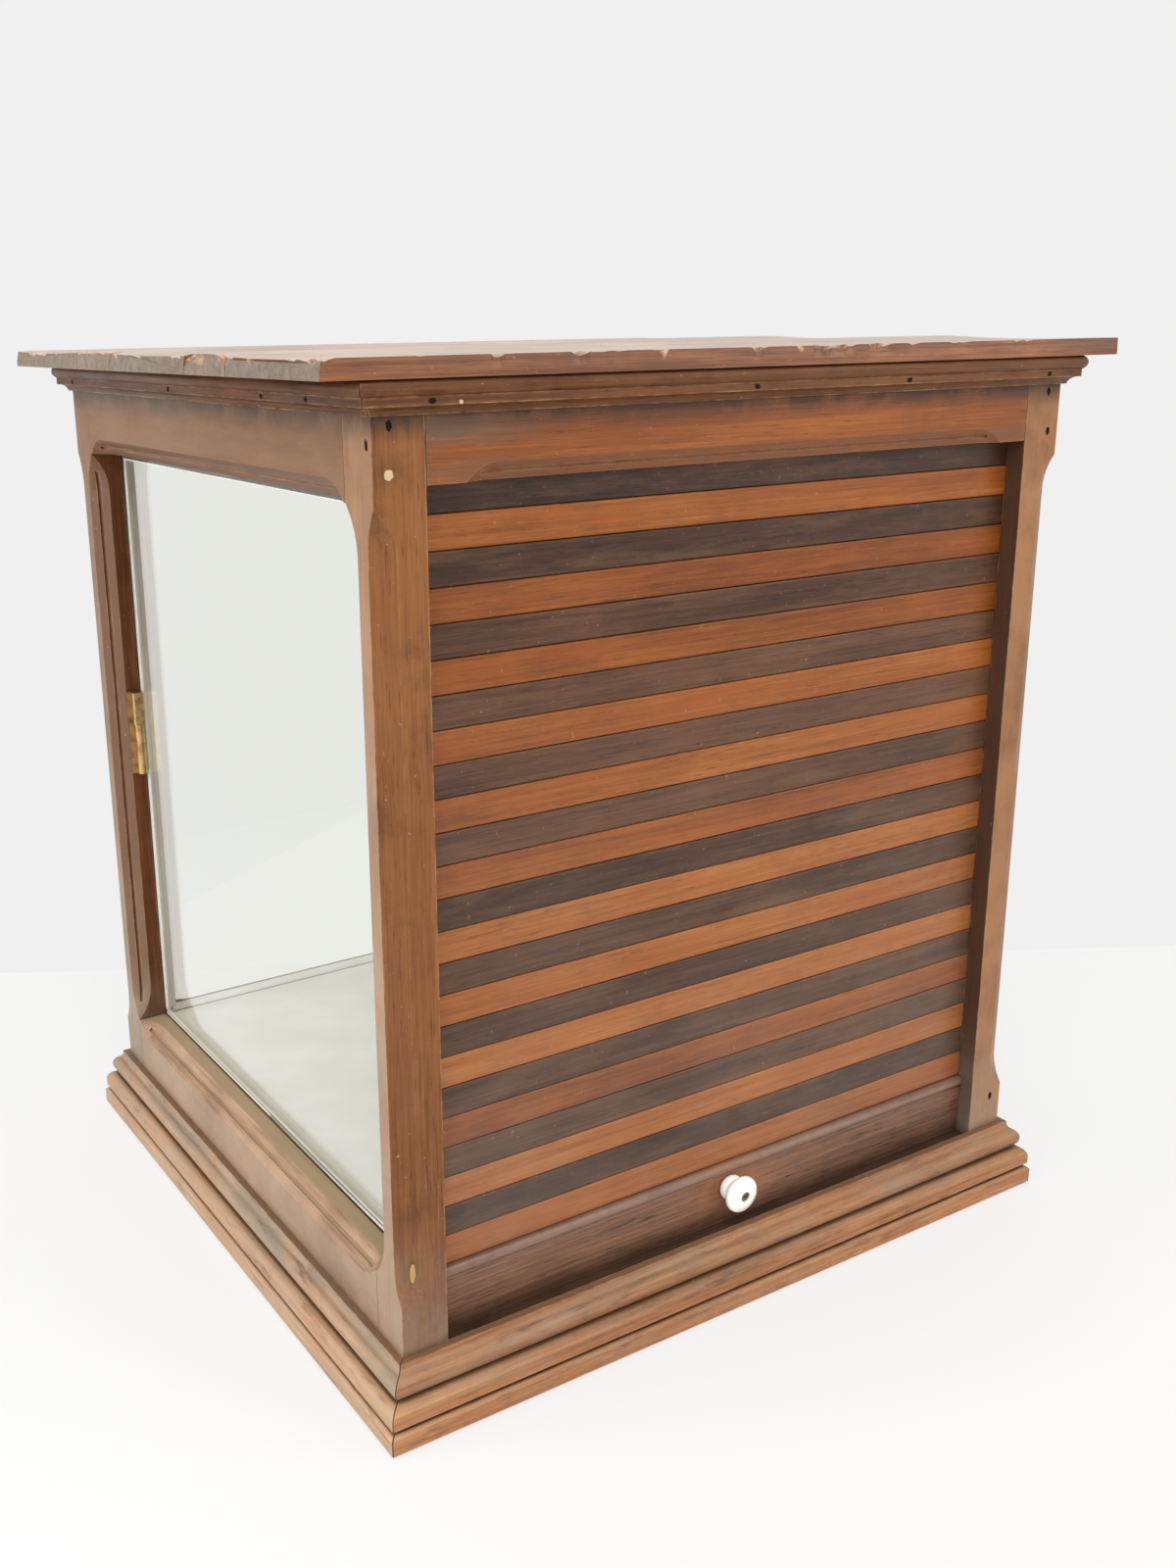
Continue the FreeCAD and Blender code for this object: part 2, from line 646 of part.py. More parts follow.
def knob_screw():
    """Brass machine screw through knob and rail, with a slotted head in front and a nut behind."""
    y = KNOB_SEAT - KNOB_LONG + SCREW_SINK
    end = SLAT_BACK + NUT_T
    out = V(0, 1, 0)
    head = Part.makeCylinder(SCREW_HEAD_R, SCREW_HEAD_T, V(KNOB_X, y, KNOB_Z), out)
    shank = Part.makeCylinder(SCREW_R, end - y, V(KNOB_X, y, KNOB_Z), out)
    corner = [
        V(KNOB_X + NUT_R * math.cos(math.radians(60 * i)), SLAT_BACK, KNOB_Z + NUT_R * math.sin(math.radians(60 * i)))
        for i in range(6)
    ]
    nut = wire_face(corner).extrude(V(0, NUT_T, 0))
    slot_half = SCREW_SLOT / 2
    wide = SCREW_HEAD_R + 1
    slot = box(KNOB_X - wide, KNOB_X + wide, y - 1, y + SCREW_SLOT, KNOB_Z - slot_half, KNOB_Z + slot_half)
    return head.fuse([shank, nut]).cut(slot).removeSplitter()


def clip(y_sign):
    """Brass clip on a reveal: a flat plate against the post and a rolled lip that bears on the pane."""
    y = y_sign * IN_Y
    x1 = -IN_X - PANE_SET - PANE_FIT
    x0 = x1 - CLIP_WIDE
    low = CLIP_Z - CLIP_LONG / 2
    top = CLIP_Z + CLIP_LONG / 2
    join = top - CLIP_LONG * CLIP_SHARE
    y0, y1 = sorted((y, y - y_sign * CLIP_PLATE_T))
    plate = box(x0, x1, y0, y1, low, top)
    roll_y = y - y_sign * (CLIP_PLATE_T + CLIP_ROLL_R - 0.6)
    roll_x = x1 - CLIP_ROLL_R
    up = V(0, 0, 1)
    lower = Part.makeCylinder(CLIP_ROLL_R, join - low, V(roll_x, roll_y, low), up)
    u0, u1 = sorted((y, roll_y - y_sign * (CLIP_ROLL_R + CLIP_STEP)))
    upper = box(roll_x - CLIP_ROLL_R - CLIP_STEP, x1, u0, u1, join + 0.8, top)
    upper = upper.makeFillet(CLIP_STEP, [e for e in upper.Edges if abs(e.BoundBox.ZLength - (top - join - 0.8)) < 1e-6])
    return plate.fuse([lower, upper]).removeSplitter()


def floor_board():
    x = IN_X - FLOOR_FIT
    y = IN_Y - FLOOR_FIT
    return box(-x, x, -y, y, SIDE_SILL_TOP - FLOOR_T, SIDE_SILL_TOP)


def floor_riser():
    """Closes the step between the front sill and the floor."""
    x = IN_X - FLOOR_FIT
    return box(-x, x, -IN_Y, -IN_Y + RISER_T, FRONT_SILL_TOP - RISER_T, SIDE_SILL_TOP - FLOOR_T)


def floor_cleats():
    z1 = SIDE_SILL_TOP - FLOOR_T
    y = IN_Y - CLEAT
    sides = [box(s, s + CLEAT, -y, y, z1 - CLEAT, z1) for s in (-IN_X, IN_X - CLEAT)]
    back = box(-IN_X, IN_X, IN_Y - CLEAT, IN_Y, z1 - CLEAT, z1)
    return sides + [back]


def bottom_boards():
    """Planks under the side rails, flush with the foot of the plinth, with open joints between them."""
    wide = (2 * IN_Y - BOTTOM_GAP * (BOTTOM_PLANKS - 1)) / BOTTOM_PLANKS
    starts = [-IN_Y + i * (wide + BOTTOM_GAP) for i in range(BOTTOM_PLANKS)]
    return [box(-HALF_W, HALF_W, y, y + wide, 0, SIDE_SILL_LOW) for y in starts]


def both_sides(name, shape):
    save(name + "_left", shape)
    save(name + "_right", mirrored_x(shape))


def main():
    both_sides("post_front", left_post(-1))
    both_sides("post_back", left_post(1))
    both_sides("rail_top", left_rail(SIDE_RAIL_LOW, FRAME_TOP))
    both_sides("rail_bottom", left_rail(SIDE_SILL_LOW, SIDE_SILL_TOP))
    save("rail_top_back", back_rail(SIDE_RAIL_LOW, FRAME_TOP))
    save("rail_bottom_back", back_rail(SIDE_SILL_LOW, SIDE_SILL_TOP))
    save("rail_top_front", front_rail())
    save("sill_front", front_sill())
    moulding_ring("plinth_upper", plinth_upper_profile)
    moulding_ring("plinth_lower", plinth_lower_profile)
    moulding_ring("cornice", cornice_profile)
    top_boards()
    both_sides("glass", at_left(pane(IN_Y)))
    both_sides("glass_beads", Part.Compound([at_left(bead) for bead in bead_ring(IN_Y)]))
    save("glass_back", at_back(pane(IN_X)))
    save("glass_beads_back", [at_back(bead) for bead in bead_ring(IN_X)])
    slats = [slat(i) for i in range(SLAT_COUNT)]
    save("slats_light", slats[0::2])
    save("slats_dark", slats[1::2])
    save("tambour_canvas", canvas())
    save("lift_rail", lift_rail())
    save("knob", knob())
    save("knob_screw", knob_screw())
    left_clips = [clip(-1), clip(1)]
    save("glass_clips", left_clips + [mirrored_x(c) for c in left_clips])
    save("floor_board", floor_board())
    save("floor_riser", floor_riser())
    save("floor_cleats", floor_cleats())
    save("bottom_boards", bottom_boards())


main()
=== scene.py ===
import math
import random

import bpy
from mathutils import Matrix, Vector, noise as field


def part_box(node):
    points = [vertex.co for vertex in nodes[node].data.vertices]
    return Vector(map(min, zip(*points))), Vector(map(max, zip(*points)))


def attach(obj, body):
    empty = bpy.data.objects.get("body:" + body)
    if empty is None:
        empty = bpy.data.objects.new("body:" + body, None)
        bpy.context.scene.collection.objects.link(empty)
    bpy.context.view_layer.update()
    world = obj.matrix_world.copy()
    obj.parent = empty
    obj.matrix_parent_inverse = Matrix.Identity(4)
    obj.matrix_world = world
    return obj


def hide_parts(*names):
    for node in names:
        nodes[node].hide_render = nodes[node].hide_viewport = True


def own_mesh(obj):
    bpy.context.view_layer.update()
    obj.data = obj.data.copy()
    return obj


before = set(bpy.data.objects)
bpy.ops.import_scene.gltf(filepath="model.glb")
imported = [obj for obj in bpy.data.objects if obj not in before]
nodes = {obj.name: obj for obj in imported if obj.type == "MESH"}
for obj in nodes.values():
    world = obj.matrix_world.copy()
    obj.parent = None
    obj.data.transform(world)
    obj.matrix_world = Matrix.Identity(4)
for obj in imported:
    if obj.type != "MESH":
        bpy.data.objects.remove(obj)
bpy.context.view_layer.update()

# Axes along which the grain can run, and the outward directions of the two sides in view
ACROSS, DEEP, UPRIGHT = 0, 1, 2
FRONT = (0, -1, 0)
LEFT = (-1, 0, 0)

# Camera: a little above the top, in front of the tambour and to its left
IMAGE_W = 1200
IMAGE_H = 1600
FOCAL_PX = 1565.5
CENTRE_PX = (501.4, 788.5)
CAMERA_AT = (-0.5981, -0.9036, 0.6191)
CAMERA_TURN = math.radians(-31.66)
CAMERA_PITCH = math.radians(16.28)
CAMERA_ROLL = math.radians(-0.85)
CAMERA_NEAR = 0.05
SENSOR = 36.0

# The back edge of the table, left and right, and the wall square to the view, well behind the case
TABLE_BACK = ((-0.272, 0.572), (0.757, -0.033))
WALL_BACK = 3.0
STAGE_SIZE = 6.0

# Lamps: name, place, size in metres and watts, all aimed at the middle of the case
LAMP_TARGET = (0.0, 0.0, 0.3)
LAMPS = (
    ("key", (-0.9, -1.7, 2.4), 1.8, 40.0),
    ("left_fill", (-2.2, 0.1, 0.95), 1.7, 35.0),
    ("right_fill", (1.5, -1.8, 1.4), 1.6, 18.0),
)
WORLD_WHITE = (1.0, 0.99, 0.975)
WORLD_STRENGTH = 0.75

# Places taken from the solids, in metres
POST_LOW, POST_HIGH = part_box("post_front_left")
HALF_W, HALF_D = -POST_LOW.x, -POST_LOW.y
IN_X, IN_Y = -POST_HIGH.x, -POST_HIGH.y
FRAME_TOP = POST_HIGH.z
TOP_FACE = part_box("top_board_1")[1].z
PLANKS = sorted(name for name in nodes if name.startswith("top_board"))
TOP_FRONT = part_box(PLANKS[0])[0].y
TOP_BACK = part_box(PLANKS[-1])[1].y
CORNICE_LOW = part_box("cornice_front")[0].z
CORNICE_FILLET_UP = 0.0068
CORNICE_FILLET_OUT = 0.0086
CORNICE_FILLET_Z = CORNICE_LOW + CORNICE_FILLET_UP
FRONT_RAIL_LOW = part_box("rail_top_front")[0].z
FRONT_MOULD_H = 0.0096
FRONT_MOULD_TOP = FRONT_RAIL_LOW + FRONT_MOULD_H
LIFT_LOW, LIFT_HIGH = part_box("lift_rail")
LIFT_LIP_H = 0.0072
LIFT_LIP_Z = LIFT_HIGH.z - LIFT_LIP_H
KNOB_LOW, KNOB_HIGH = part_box("knob")
KNOB_MIDDLE = (KNOB_LOW + KNOB_HIGH) / 2
PLINTH_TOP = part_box("plinth_upper_front")[1].z
PLINTH_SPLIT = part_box("plinth_lower_front")[1].z
PLINTH_GROOVE_Z = 0.0138
CURTAIN_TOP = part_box("tambour_canvas")[1].z
CURTAIN_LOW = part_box("lift_rail")[1].z
SLAT_WIDE = 0.01905
SLAT_COUNT = round((CURTAIN_TOP - CURTAIN_LOW) / SLAT_WIDE)
SLAT_PITCH = (CURTAIN_TOP - CURTAIN_LOW) / SLAT_COUNT

# Wood tones as linear colours, dark to light
POST_TONES = ((0.058, 0.015, 0.003), (0.145, 0.045, 0.009), (0.240, 0.092, 0.024))
RAIL_TONES = ((0.190, 0.055, 0.011), (0.350, 0.108, 0.022), (0.480, 0.180, 0.044))
CORNICE_TONES = ((0.050, 0.017, 0.005), (0.125, 0.046, 0.015), (0.210, 0.088, 0.032))
LIGHT_TONES = ((0.135, 0.034, 0.005), (0.262, 0.078, 0.012), (0.390, 0.142, 0.034))
DARK_TONES = ((0.018, 0.007, 0.003), (0.050, 0.020, 0.010), (0.125, 0.052, 0.024))
LIFT_TONES = ((0.048, 0.019, 0.010), (0.185, 0.082, 0.043), (0.330, 0.165, 0.088))
TOP_TONES = ((0.120, 0.038, 0.011), (0.300, 0.110, 0.034), (0.430, 0.200, 0.080))
PLINTH_TONES = ((0.140, 0.050, 0.016), (0.320, 0.128, 0.046), (0.470, 0.232, 0.100))
# The sill's tones are very dark: dark wood, and painted shade for the gap under the lift rail
SILL_TONES = ((0.030, 0.016, 0.010), (0.065, 0.034, 0.020), (0.105, 0.056, 0.034))
INNER_TONES = ((0.200, 0.110, 0.060), (0.330, 0.200, 0.115), (0.430, 0.280, 0.170))

# Colours of wear, and of painted light and shade, linear
# Bare wood of worn arrises and specks, which also paints the highlight along the arrises
BARE_WOOD_AND_HIGHLIGHT = (0.520, 0.290, 0.130)
CHIP_PALE = (0.600, 0.370, 0.200)
GREY_DUST = (0.270, 0.240, 0.190)
PLINTH_DUST = (0.340, 0.285, 0.205)
SCRATCH = (0.560, 0.400, 0.250)
# Dark of grime, stains and joints, which also paints shade in corners and under the cornice
GRIME_AND_SHADE = (0.028, 0.016, 0.010)
LIP_GREY = (0.260, 0.165, 0.120)
# Painted light and sheen on the outer side faces
SIDE_LIGHT_PAINTED = (0.400, 0.300, 0.205)
# Dull brown of dust and dark wood, which also paints shade on mouldings and level faces
MOULD_BROWN_AND_SHADE = (0.130, 0.062, 0.032)
RAIL_BROWN = (0.185, 0.092, 0.036)
LEDGE_DUST = (0.430, 0.340, 0.190)
RUBBED_SLOPE = (0.520, 0.310, 0.190)
# Brown of old finish and streaks, which also paints shade on undersides and far chamfers
CHAMFER_BROWN_AND_SHADE = (0.110, 0.045, 0.020)
CHAMFER_DARK = (0.075, 0.024, 0.008)
# Pale haze of dust and painted sheen on the lower slats
HAZE_SHEEN_AND_DUST = (0.300, 0.245, 0.200)
RED_PATCH = (0.290, 0.070, 0.011)
BROWN_PATCH = (0.150, 0.070, 0.032)
PLINTH_GREY = (0.205, 0.180, 0.130)
SCUFF_GREY = (0.110, 0.085, 0.058)
RUBBED = (0.330, 0.120, 0.036)
# Painted shade in the reveals beside the tambour
REVEAL_SHADE = (0.055, 0.031, 0.021)
# Painted sheen on the right post's front
RIGHT_POST_SHEEN = (0.430, 0.210, 0.090)
# Painted glare on the top's upper face
TOP_GLARE = (0.680, 0.530, 0.430)
END_GREY = (0.190, 0.150, 0.108)

# Colours of the other materials, linear, and where there are two, dark before light
GLASS_TINT = (0.975, 0.98, 0.955)
GLASS_SHADE = (0.95, 0.97, 0.955)
FLOOR_PAINT = ((0.74, 0.72, 0.66), (0.84, 0.83, 0.80))
PORCELAIN = (0.86, 0.85, 0.80)
CLIP_BRASS = ((0.26, 0.15, 0.06), (0.56, 0.38, 0.17))
SCREW_BRASS = ((0.10, 0.075, 0.045), (0.32, 0.24, 0.14))
CANVAS = ((0.30, 0.25, 0.17), (0.46, 0.40, 0.29))
NAIL_IRON = (0.012, 0.008, 0.006)
OLD_PAINT = (0.50, 0.37, 0.23)
GOUGE_WOOD = (0.42, 0.25, 0.08)
WALL_WHITE = (0.85, 0.85, 0.84)
WALL_SEEN = (0.865, 0.870, 0.865)
TABLE_WHITE = (0.88, 0.88, 0.875)
TABLE_SEEN = (0.88, 0.88, 0.88)
TABLE_SHADED = 0.35

# How far patterns are drawn out along the grain: figure, fine fibres and patches
STRETCH = 0.06
FINE_STRETCH = 0.022
PATCH_STRETCH = 0.16

# How far the figure is shifted from piece to piece and from slat to slat, in metres
PIECE_SHIFT = 7.0
SLAT_SHIFT = 9.0

# Fields of noise: cells per metre, octaves and roughness
BROAD_FIGURE = (46.0, 3.0, 0.6)
FIBRES = (480.0, 4.0, 0.8)
BLOTCHES = (11.0, 3.0, 0.6)

# Share of each field in the tone of the wood, and the sums at which its three tones lie
FIGURE_SHARES = (0.36, 0.62, 0.24)
TONE_STOPS = (0.40, 0.61, 0.82)

# Marks: cells per metre, octaves, roughness, and the noise values at which a mark starts and is full
PORES = (1000.0, 2.0, 0.5, 0.60, 0.72)
STAINS = (17.0, 8.0, 0.72, 0.52, 0.68)
SPECKS = (300.0, 3.0, 0.6, 0.69, 0.73)
DUST = (26.0, 7.0, 0.68, 0.48, 0.72)
EDGE_BREAKS = (60.0, 5.0, 0.7, 0.42, 0.62)
SLAT_CLOUDS = (60.0, 8.0, 0.75, 0.48, 0.66)
TOP_STAINS = (14.0, 6.0, 0.65, 0.3, 0.7)
END_RINGS = (240.0, 5.0, 0.7, 0.35, 0.7)
TOP_BREAKS = (45.0, 5.0, 0.6, 0.62, 0.66)
FLOOR_SCUFFS = (16.0, 5.0, 0.6, 0.35, 0.65)
BRASS_STAINS = (140.0, 4.0, 0.6, 0.30, 0.55)
WEAVE = (700.0, 2.0, 0.5, 0.3, 0.7)

# Patches, which share their octaves and roughness: cells per metre, start and full
PATCH_GRIT = (6.0, 0.68)
CORNICE_SHADE_PATCHES = (40.0, 0.15, 0.55)
SIDE_LIGHT_PATCHES = (12.0, 0.0, 0.62)
SLOPE_PATCHES = (24.0, 0.1, 0.6)
RIGHT_POST_SHEEN_PATCHES = (20.0, 0.1, 0.6)
FOOT_PATCHES = (30.0, 0.25, 0.65)
MOULD_PATCHES = (60.0, 0.15, 0.55)
PLINTH_DUST_PATCHES = (34.0, 0.3, 0.66)
SLAT_END_PATCHES = (14.0, 0.3, 0.6)
HAZE_SHEEN_AND_DUST_PATCHES = (9.0, 0.2, 0.7)
LIP_PATCHES = (70.0, 0.1, 0.5)
FINGER_PATCHES = (90.0, 0.25, 0.6)
LIFT_EDGE_PATCHES = (30.0, 0.1, 0.5)

# Streaks, which share theirs too: cells per metre, start and full
STREAK_GRIT = (8.0, 0.72)
FINISH_STREAKS = (42.0, 0.46, 0.64)
SLOPE_LINES = (170.0, 0.44, 0.62)
SCUFF_STREAKS = (60.0, 0.42, 0.58)
FADED_STREAKS = (80.0, 0.50, 0.66)
WEATHER_STREAKS = (55.0, 0.44, 0.60)
STAIN_STREAKS = (130.0, 0.56, 0.70)
SCRATCH_STREAKS = (330.0, 0.58, 0.66)
OPEN_GRAIN = (170.0, 0.54, 0.68)
RAISED_GRAIN = (150.0, 0.42, 0.66)

# Part of a face's normal along an axis at which a mask starts and is full
SIDEWAYS = (0.56, 0.68)
SQUARE_ON = (0.7, 0.9)
FRONTWARD = (-0.7, -0.9)
UNDERSIDE = (-0.4, -0.6)
SLOPED = (0.45, 0.6)
LEDGE = (0.85, 0.95)
LEVEL = (0.9, 0.97)
FACING_UP = (0.05, 0.75)
TOP_SIDE = (0.75, 0.95)
BETWEEN_SIDES = (0.25, 0.4)

# Turn of the surface at a worn arris that is also painted as a highlight, and occlusion in a corner that is
# painted as shade, at which each starts and is full
TURNED_EDGE = (0.02, 0.16)
SHADED_CORNER = (0.35, 0.85)
MASK_SAMPLES = 4
ARRIS_R = 0.0016
CORNER_REACH = 0.007

# Distance from an edge at which wear, painted shade and painted light start and are full, in metres
CORNICE_SHADE_BAND = (0.014, 0.002)
SIDE_SKIN = (0.014, 0.012)
HEAD_BAND = (0.09, 0.05)
REVEAL_SKIN = (0.003, 0.001)
REVEAL_DEPTH = 0.002
SCUFF_BAND = (0.03, 0.012)
FOOT_DUST_H = 0.085
FINGER_REACH = (0.042, 0.012)
LIFT_EDGE = (0.016, 0.003)
CHIP_BAND = (0.0060, 0.0010)
HAZE_DROP = 0.10

# Places at which wear, painted light and painted shade start or are full, in metres
SCUFF_X = (-0.12, -0.18)
SLAT_END_X = 0.10
SIDE_LIGHT_FULL_Z = 0.25
FAR_SHADE_Z = 0.2

# Width over which one look passes into the next, and half the width of a joint's line, in metres
NOSE_BLUR = (0.004, 0.002)
LOW_BAND_BLUR = 0.002
MOULD_BLUR = 0.0006
LIP_BLUR = 0.0008
JOINT_LINE = 0.0006

# Shares: how dark a pore, a stain and the grain are beside the wood, and how wear and painted light are
# spread
PORE_SHADE = 0.3
STAIN_SHADE = 0.8
TOP_STAIN_SHADE = 0.7
RAISED_SHADE = 0.45
RING_SHADE = 0.35
SIDE_LIGHT_LEAST = 0.4
SLAT_END_SHARE = 0.4
FINGER_SQUEEZE = 0.75

# Sheen of the wood: the blotches that it follows, its range of roughness, and the relief of the fibres
SHEEN_BLOTCHES = (0.25, 0.75)
SHEEN_RANGE = 0.22
SHEEN_DROP = 0.1
FIBRE_BUMP = 0.3
FIBRE_RISE = 0.0004

# Softened arrises, as geometry
BEVEL = 0.0007
BEVEL_ANGLE = math.radians(35)
BEVEL_STEPS = 2
WELD = 0.000002

# Top planks: mesh steps, the dish of a cupped plank and the least rise of a crowned one, in metres
EDGE_STEP = 0.0018
FACE_STEP = 0.004
LENGTH_STEP = 0.003
PLANK_DISH = 0.0011
LEAST_CROWN = 0.0005

# Chips along the top's upper arrises, in metres, cells per metre and shares
CHIP_REACH = 0.0075
CHIPS_PER_M = 55
SPLINTERS_PER_M = 160
SPLINTER_SHARE = 0.5
RUBBED_DEPTH = 0.0006
CHIP_DEPTH = 0.0042
CHIP_START = 0.12
CHIP_INWARD = 0.6
PLANK_SEED = 3.7

# Nails and small marks: places and radii in metres, and height over width
CORNICE_NAILS_X = (-0.220, -0.014, 0.104, 0.228)
CORNICE_NAILS_Y = (0.205, 0.014, -0.125, -0.180)
POST_NAILS_XZ = ((-0.240, 0.573), (0.239, 0.573), (0.241, 0.548), (0.240, 0.072))
LEFT_NAIL_YZ = (-0.228, 0.564)
HOLE_R = 0.0020
HOLE_TALL = 0.8
NAIL_R = 0.0018
NAIL_TALL = 1.6
DROP_X, DROP_Z = -0.2407, 0.5494
DROP_R = 0.0024
DROP_TALL = 1.2
SPECK_X = -0.204
SPECK_BELOW = 0.0012
SPECK_R = 0.0012
SPECK_TALL = 1.0
GOUGE_X, GOUGE_Z = -0.2420, 0.1020
GOUGE_R = 0.0017
GOUGE_TALL = 4.0
BLOT_RISE = 0.00022
BLOT_LIFT = 0.00006
BLOT_SIDES = 11
BLOT_UNEVEN = (0.75, 1.2)


def new_material(name):
    material = bpy.data.materials.new(name)
    material.use_nodes = True
    tree = material.node_tree
    shader = tree.nodes["Principled BSDF"]
    return material, tree, shader


def link(tree, source, target):
    tree.links.new(source, target)


def feed(tree, value, socket):
    """Sets a socket to a number or colour, or links it to another node's output."""
    if isinstance(value, (int, float)):
        socket.default_value = value
    elif isinstance(value, tuple):
        socket.default_value = (*value, 1.0)
    else:
        link(tree, value, socket)


def set_surface(tree, surface):
    link(tree, surface, tree.nodes["Material Output"].inputs["Surface"])


def darker(colour, share):
    return tuple(share * c for c in colour)


def calc(tree, operation, a, b=0.0):
    node = tree.nodes.new("ShaderNodeMath")
    node.operation = operation
    feed(tree, a, node.inputs[0])
    feed(tree, b, node.inputs[1])
    return node.outputs[0]


def times(tree, a, b):
    return calc(tree, "MULTIPLY", a, b)


def size_of(tree, value):
    return calc(tree, "ABSOLUTE", value)


def ramp(tree, source, stops):
    node = tree.nodes.new("ShaderNodeValToRGB")
    elements = node.color_ramp.elements
    while len(elements) < len(stops):
        elements.new(0.5)
    for element, (place, colour) in zip(elements, stops):
        element.position = place
        element.color = (*colour, 1.0)
    link(tree, source, node.inputs["Fac"])
    return node.outputs["Color"]


def mix(tree, share, a, b):
    node = tree.nodes.new("ShaderNodeMix")
    node.data_type = "RGBA"
    feed(tree, share, node.inputs[0])
    feed(tree, a, node.inputs[6])
    feed(tree, b, node.inputs[7])
    return node.outputs[2]


def tint(tree, colour, target, mask, share):
    """Mixes in a share of the target colour where the mask is one."""
    return mix(tree, times(tree, mask, share), colour, target)


def shader_switch(tree, choice, off, on):
    """Passes from one shader to another as the choice goes from zero to one."""
    switch = tree.nodes.new("ShaderNodeMixShader")
    feed(tree, choice, switch.inputs[0])
    link(tree, off, switch.inputs[1])
    link(tree, on, switch.inputs[2])
    return switch.outputs[0]


def noise(tree, vector, pattern):
    cells, octaves, rough = pattern
    node = tree.nodes.new("ShaderNodeTexNoise")
    node.inputs["Scale"].default_value = cells
    node.inputs["Detail"].default_value = octaves
    node.inputs["Roughness"].default_value = rough
    link(tree, vector, node.inputs["Vector"])
    return node.outputs["Fac"]


def narrow(tree, value, low, high):
    """Maps low..high to 0..1, clamped."""
    node = tree.nodes.new("ShaderNodeMapRange")
    node.clamp = True
    node.inputs["From Min"].default_value = low
    node.inputs["From Max"].default_value = high
    link(tree, value, node.inputs["Value"])
    return node.outputs["Result"]


def marks(tree, vector, pattern):
    """Noise as a mask that starts and is full at the pattern's last two values."""
    *grain, low, high = pattern
    return narrow(tree, noise(tree, vector, grain), low, high)


def split(tree, vector):
    parts = tree.nodes.new("ShaderNodeSeparateXYZ")
    link(tree, vector, parts.inputs[0])
    return parts.outputs["X"], parts.outputs["Y"], parts.outputs["Z"]


def object_place(tree):
    return tree.nodes.new("ShaderNodeTexCoord").outputs["Object"]


def face_normal(tree):
    return tree.nodes.new("ShaderNodeNewGeometry").outputs["True Normal"]


def spread_vector(tree, value, reach):
    """A shift by the same amount along all three axes."""
    join = tree.nodes.new("ShaderNodeCombineXYZ")
    amount = times(tree, value, reach)
    for socket in join.inputs:
        link(tree, amount, socket)
    return join.outputs[0]


def piece_offset(tree):
    """A different shift for each object."""
    chance = tree.nodes.new("ShaderNodeObjectInfo").outputs["Random"]
    return chance, spread_vector(tree, chance, PIECE_SHIFT)


def slat_offset(tree):
    """A different shift for each slat, counted by its height."""
    height = split(tree, object_place(tree))[2]
    row = calc(tree, "DIVIDE", calc(tree, "SUBTRACT", height, CURTAIN_LOW), SLAT_PITCH)
    white = tree.nodes.new("ShaderNodeTexWhiteNoise")
    white.noise_dimensions = "1D"
    link(tree, calc(tree, "FLOOR", row), white.inputs["W"])
    chance = white.outputs["Value"]
    return chance, spread_vector(tree, chance, SLAT_SHIFT)


def along_grain(tree, axis, shift, stretch):
    """Object coordinates, shifted, and shrunk along the grain."""
    moved = tree.nodes.new("ShaderNodeVectorMath")
    moved.operation = "ADD"
    link(tree, object_place(tree), moved.inputs[0])
    link(tree, shift, moved.inputs[1])
    shrunk = tree.nodes.new("ShaderNodeVectorMath")
    shrunk.operation = "MULTIPLY"
    scale = [1.0, 1.0, 1.0]
    scale[axis] = stretch
    shrunk.inputs[1].default_value = scale
    link(tree, moved.outputs[0], shrunk.inputs[0])
    return shrunk.outputs[0]


def patch(tree, mask, pattern):
    """A mask broken up by noise."""
    cells, low, high = pattern
    return times(tree, mask, marks(tree, object_place(tree), (cells, *PATCH_GRIT, low, high)))


def streaks(tree, axis, pattern, stretch=STRETCH):
    """Thin broken marks along one axis."""
    cells, low, high = pattern
    still = tree.nodes.new("ShaderNodeCombineXYZ").outputs[0]
    drawn_out = along_grain(tree, axis, still, stretch)
    return marks(tree, drawn_out, (cells, *STREAK_GRIT, low, high))


def worn_edge_and_highlight_mask(tree):
    """One on arrises, zero on flats, broken up so that it isn't even: wear, and a painted highlight along
    the arris.
    """
    bevel = tree.nodes.new("ShaderNodeBevel")
    bevel.samples = MASK_SAMPLES
    bevel.inputs["Radius"].default_value = ARRIS_R
    turn = tree.nodes.new("ShaderNodeVectorMath")
    turn.operation = "DOT_PRODUCT"
    link(tree, bevel.outputs[0], turn.inputs[0])
    link(tree, face_normal(tree), turn.inputs[1])
    edge = narrow(tree, calc(tree, "SUBTRACT", 1.0, turn.outputs["Value"]), *TURNED_EDGE)
    return times(tree, edge, marks(tree, object_place(tree), EDGE_BREAKS))


def corner_shade(tree):
    """Painted shade: one in narrow corners, where ambient occlusion finds shade, zero on open surfaces."""
    shade = tree.nodes.new("ShaderNodeAmbientOcclusion")
    shade.samples = MASK_SAMPLES
    shade.inputs["Distance"].default_value = CORNER_REACH
    return narrow(tree, calc(tree, "SUBTRACT", 1.0, shade.outputs["AO"]), *SHADED_CORNER)


def joint_line(tree, kind):
    """Dark line where a piece ends: at a rail's shoulders, or along a moulding's mitre."""
    x, y, z = split(tree, object_place(tree))
    far_x = size_of(tree, x)
    far_y = size_of(tree, y)
    if kind == "across":
        return calc(tree, "GREATER_THAN", far_x, IN_X - JOINT_LINE)
    if kind == "deep":
        return calc(tree, "GREATER_THAN", far_y, IN_Y - JOINT_LINE)
    out_x = calc(tree, "SUBTRACT", far_x, HALF_W)
    out_y = calc(tree, "SUBTRACT", far_y, HALF_D)
    off = size_of(tree, calc(tree, "SUBTRACT", out_x, out_y))
    return calc(tree, "LESS_THAN", off, JOINT_LINE)


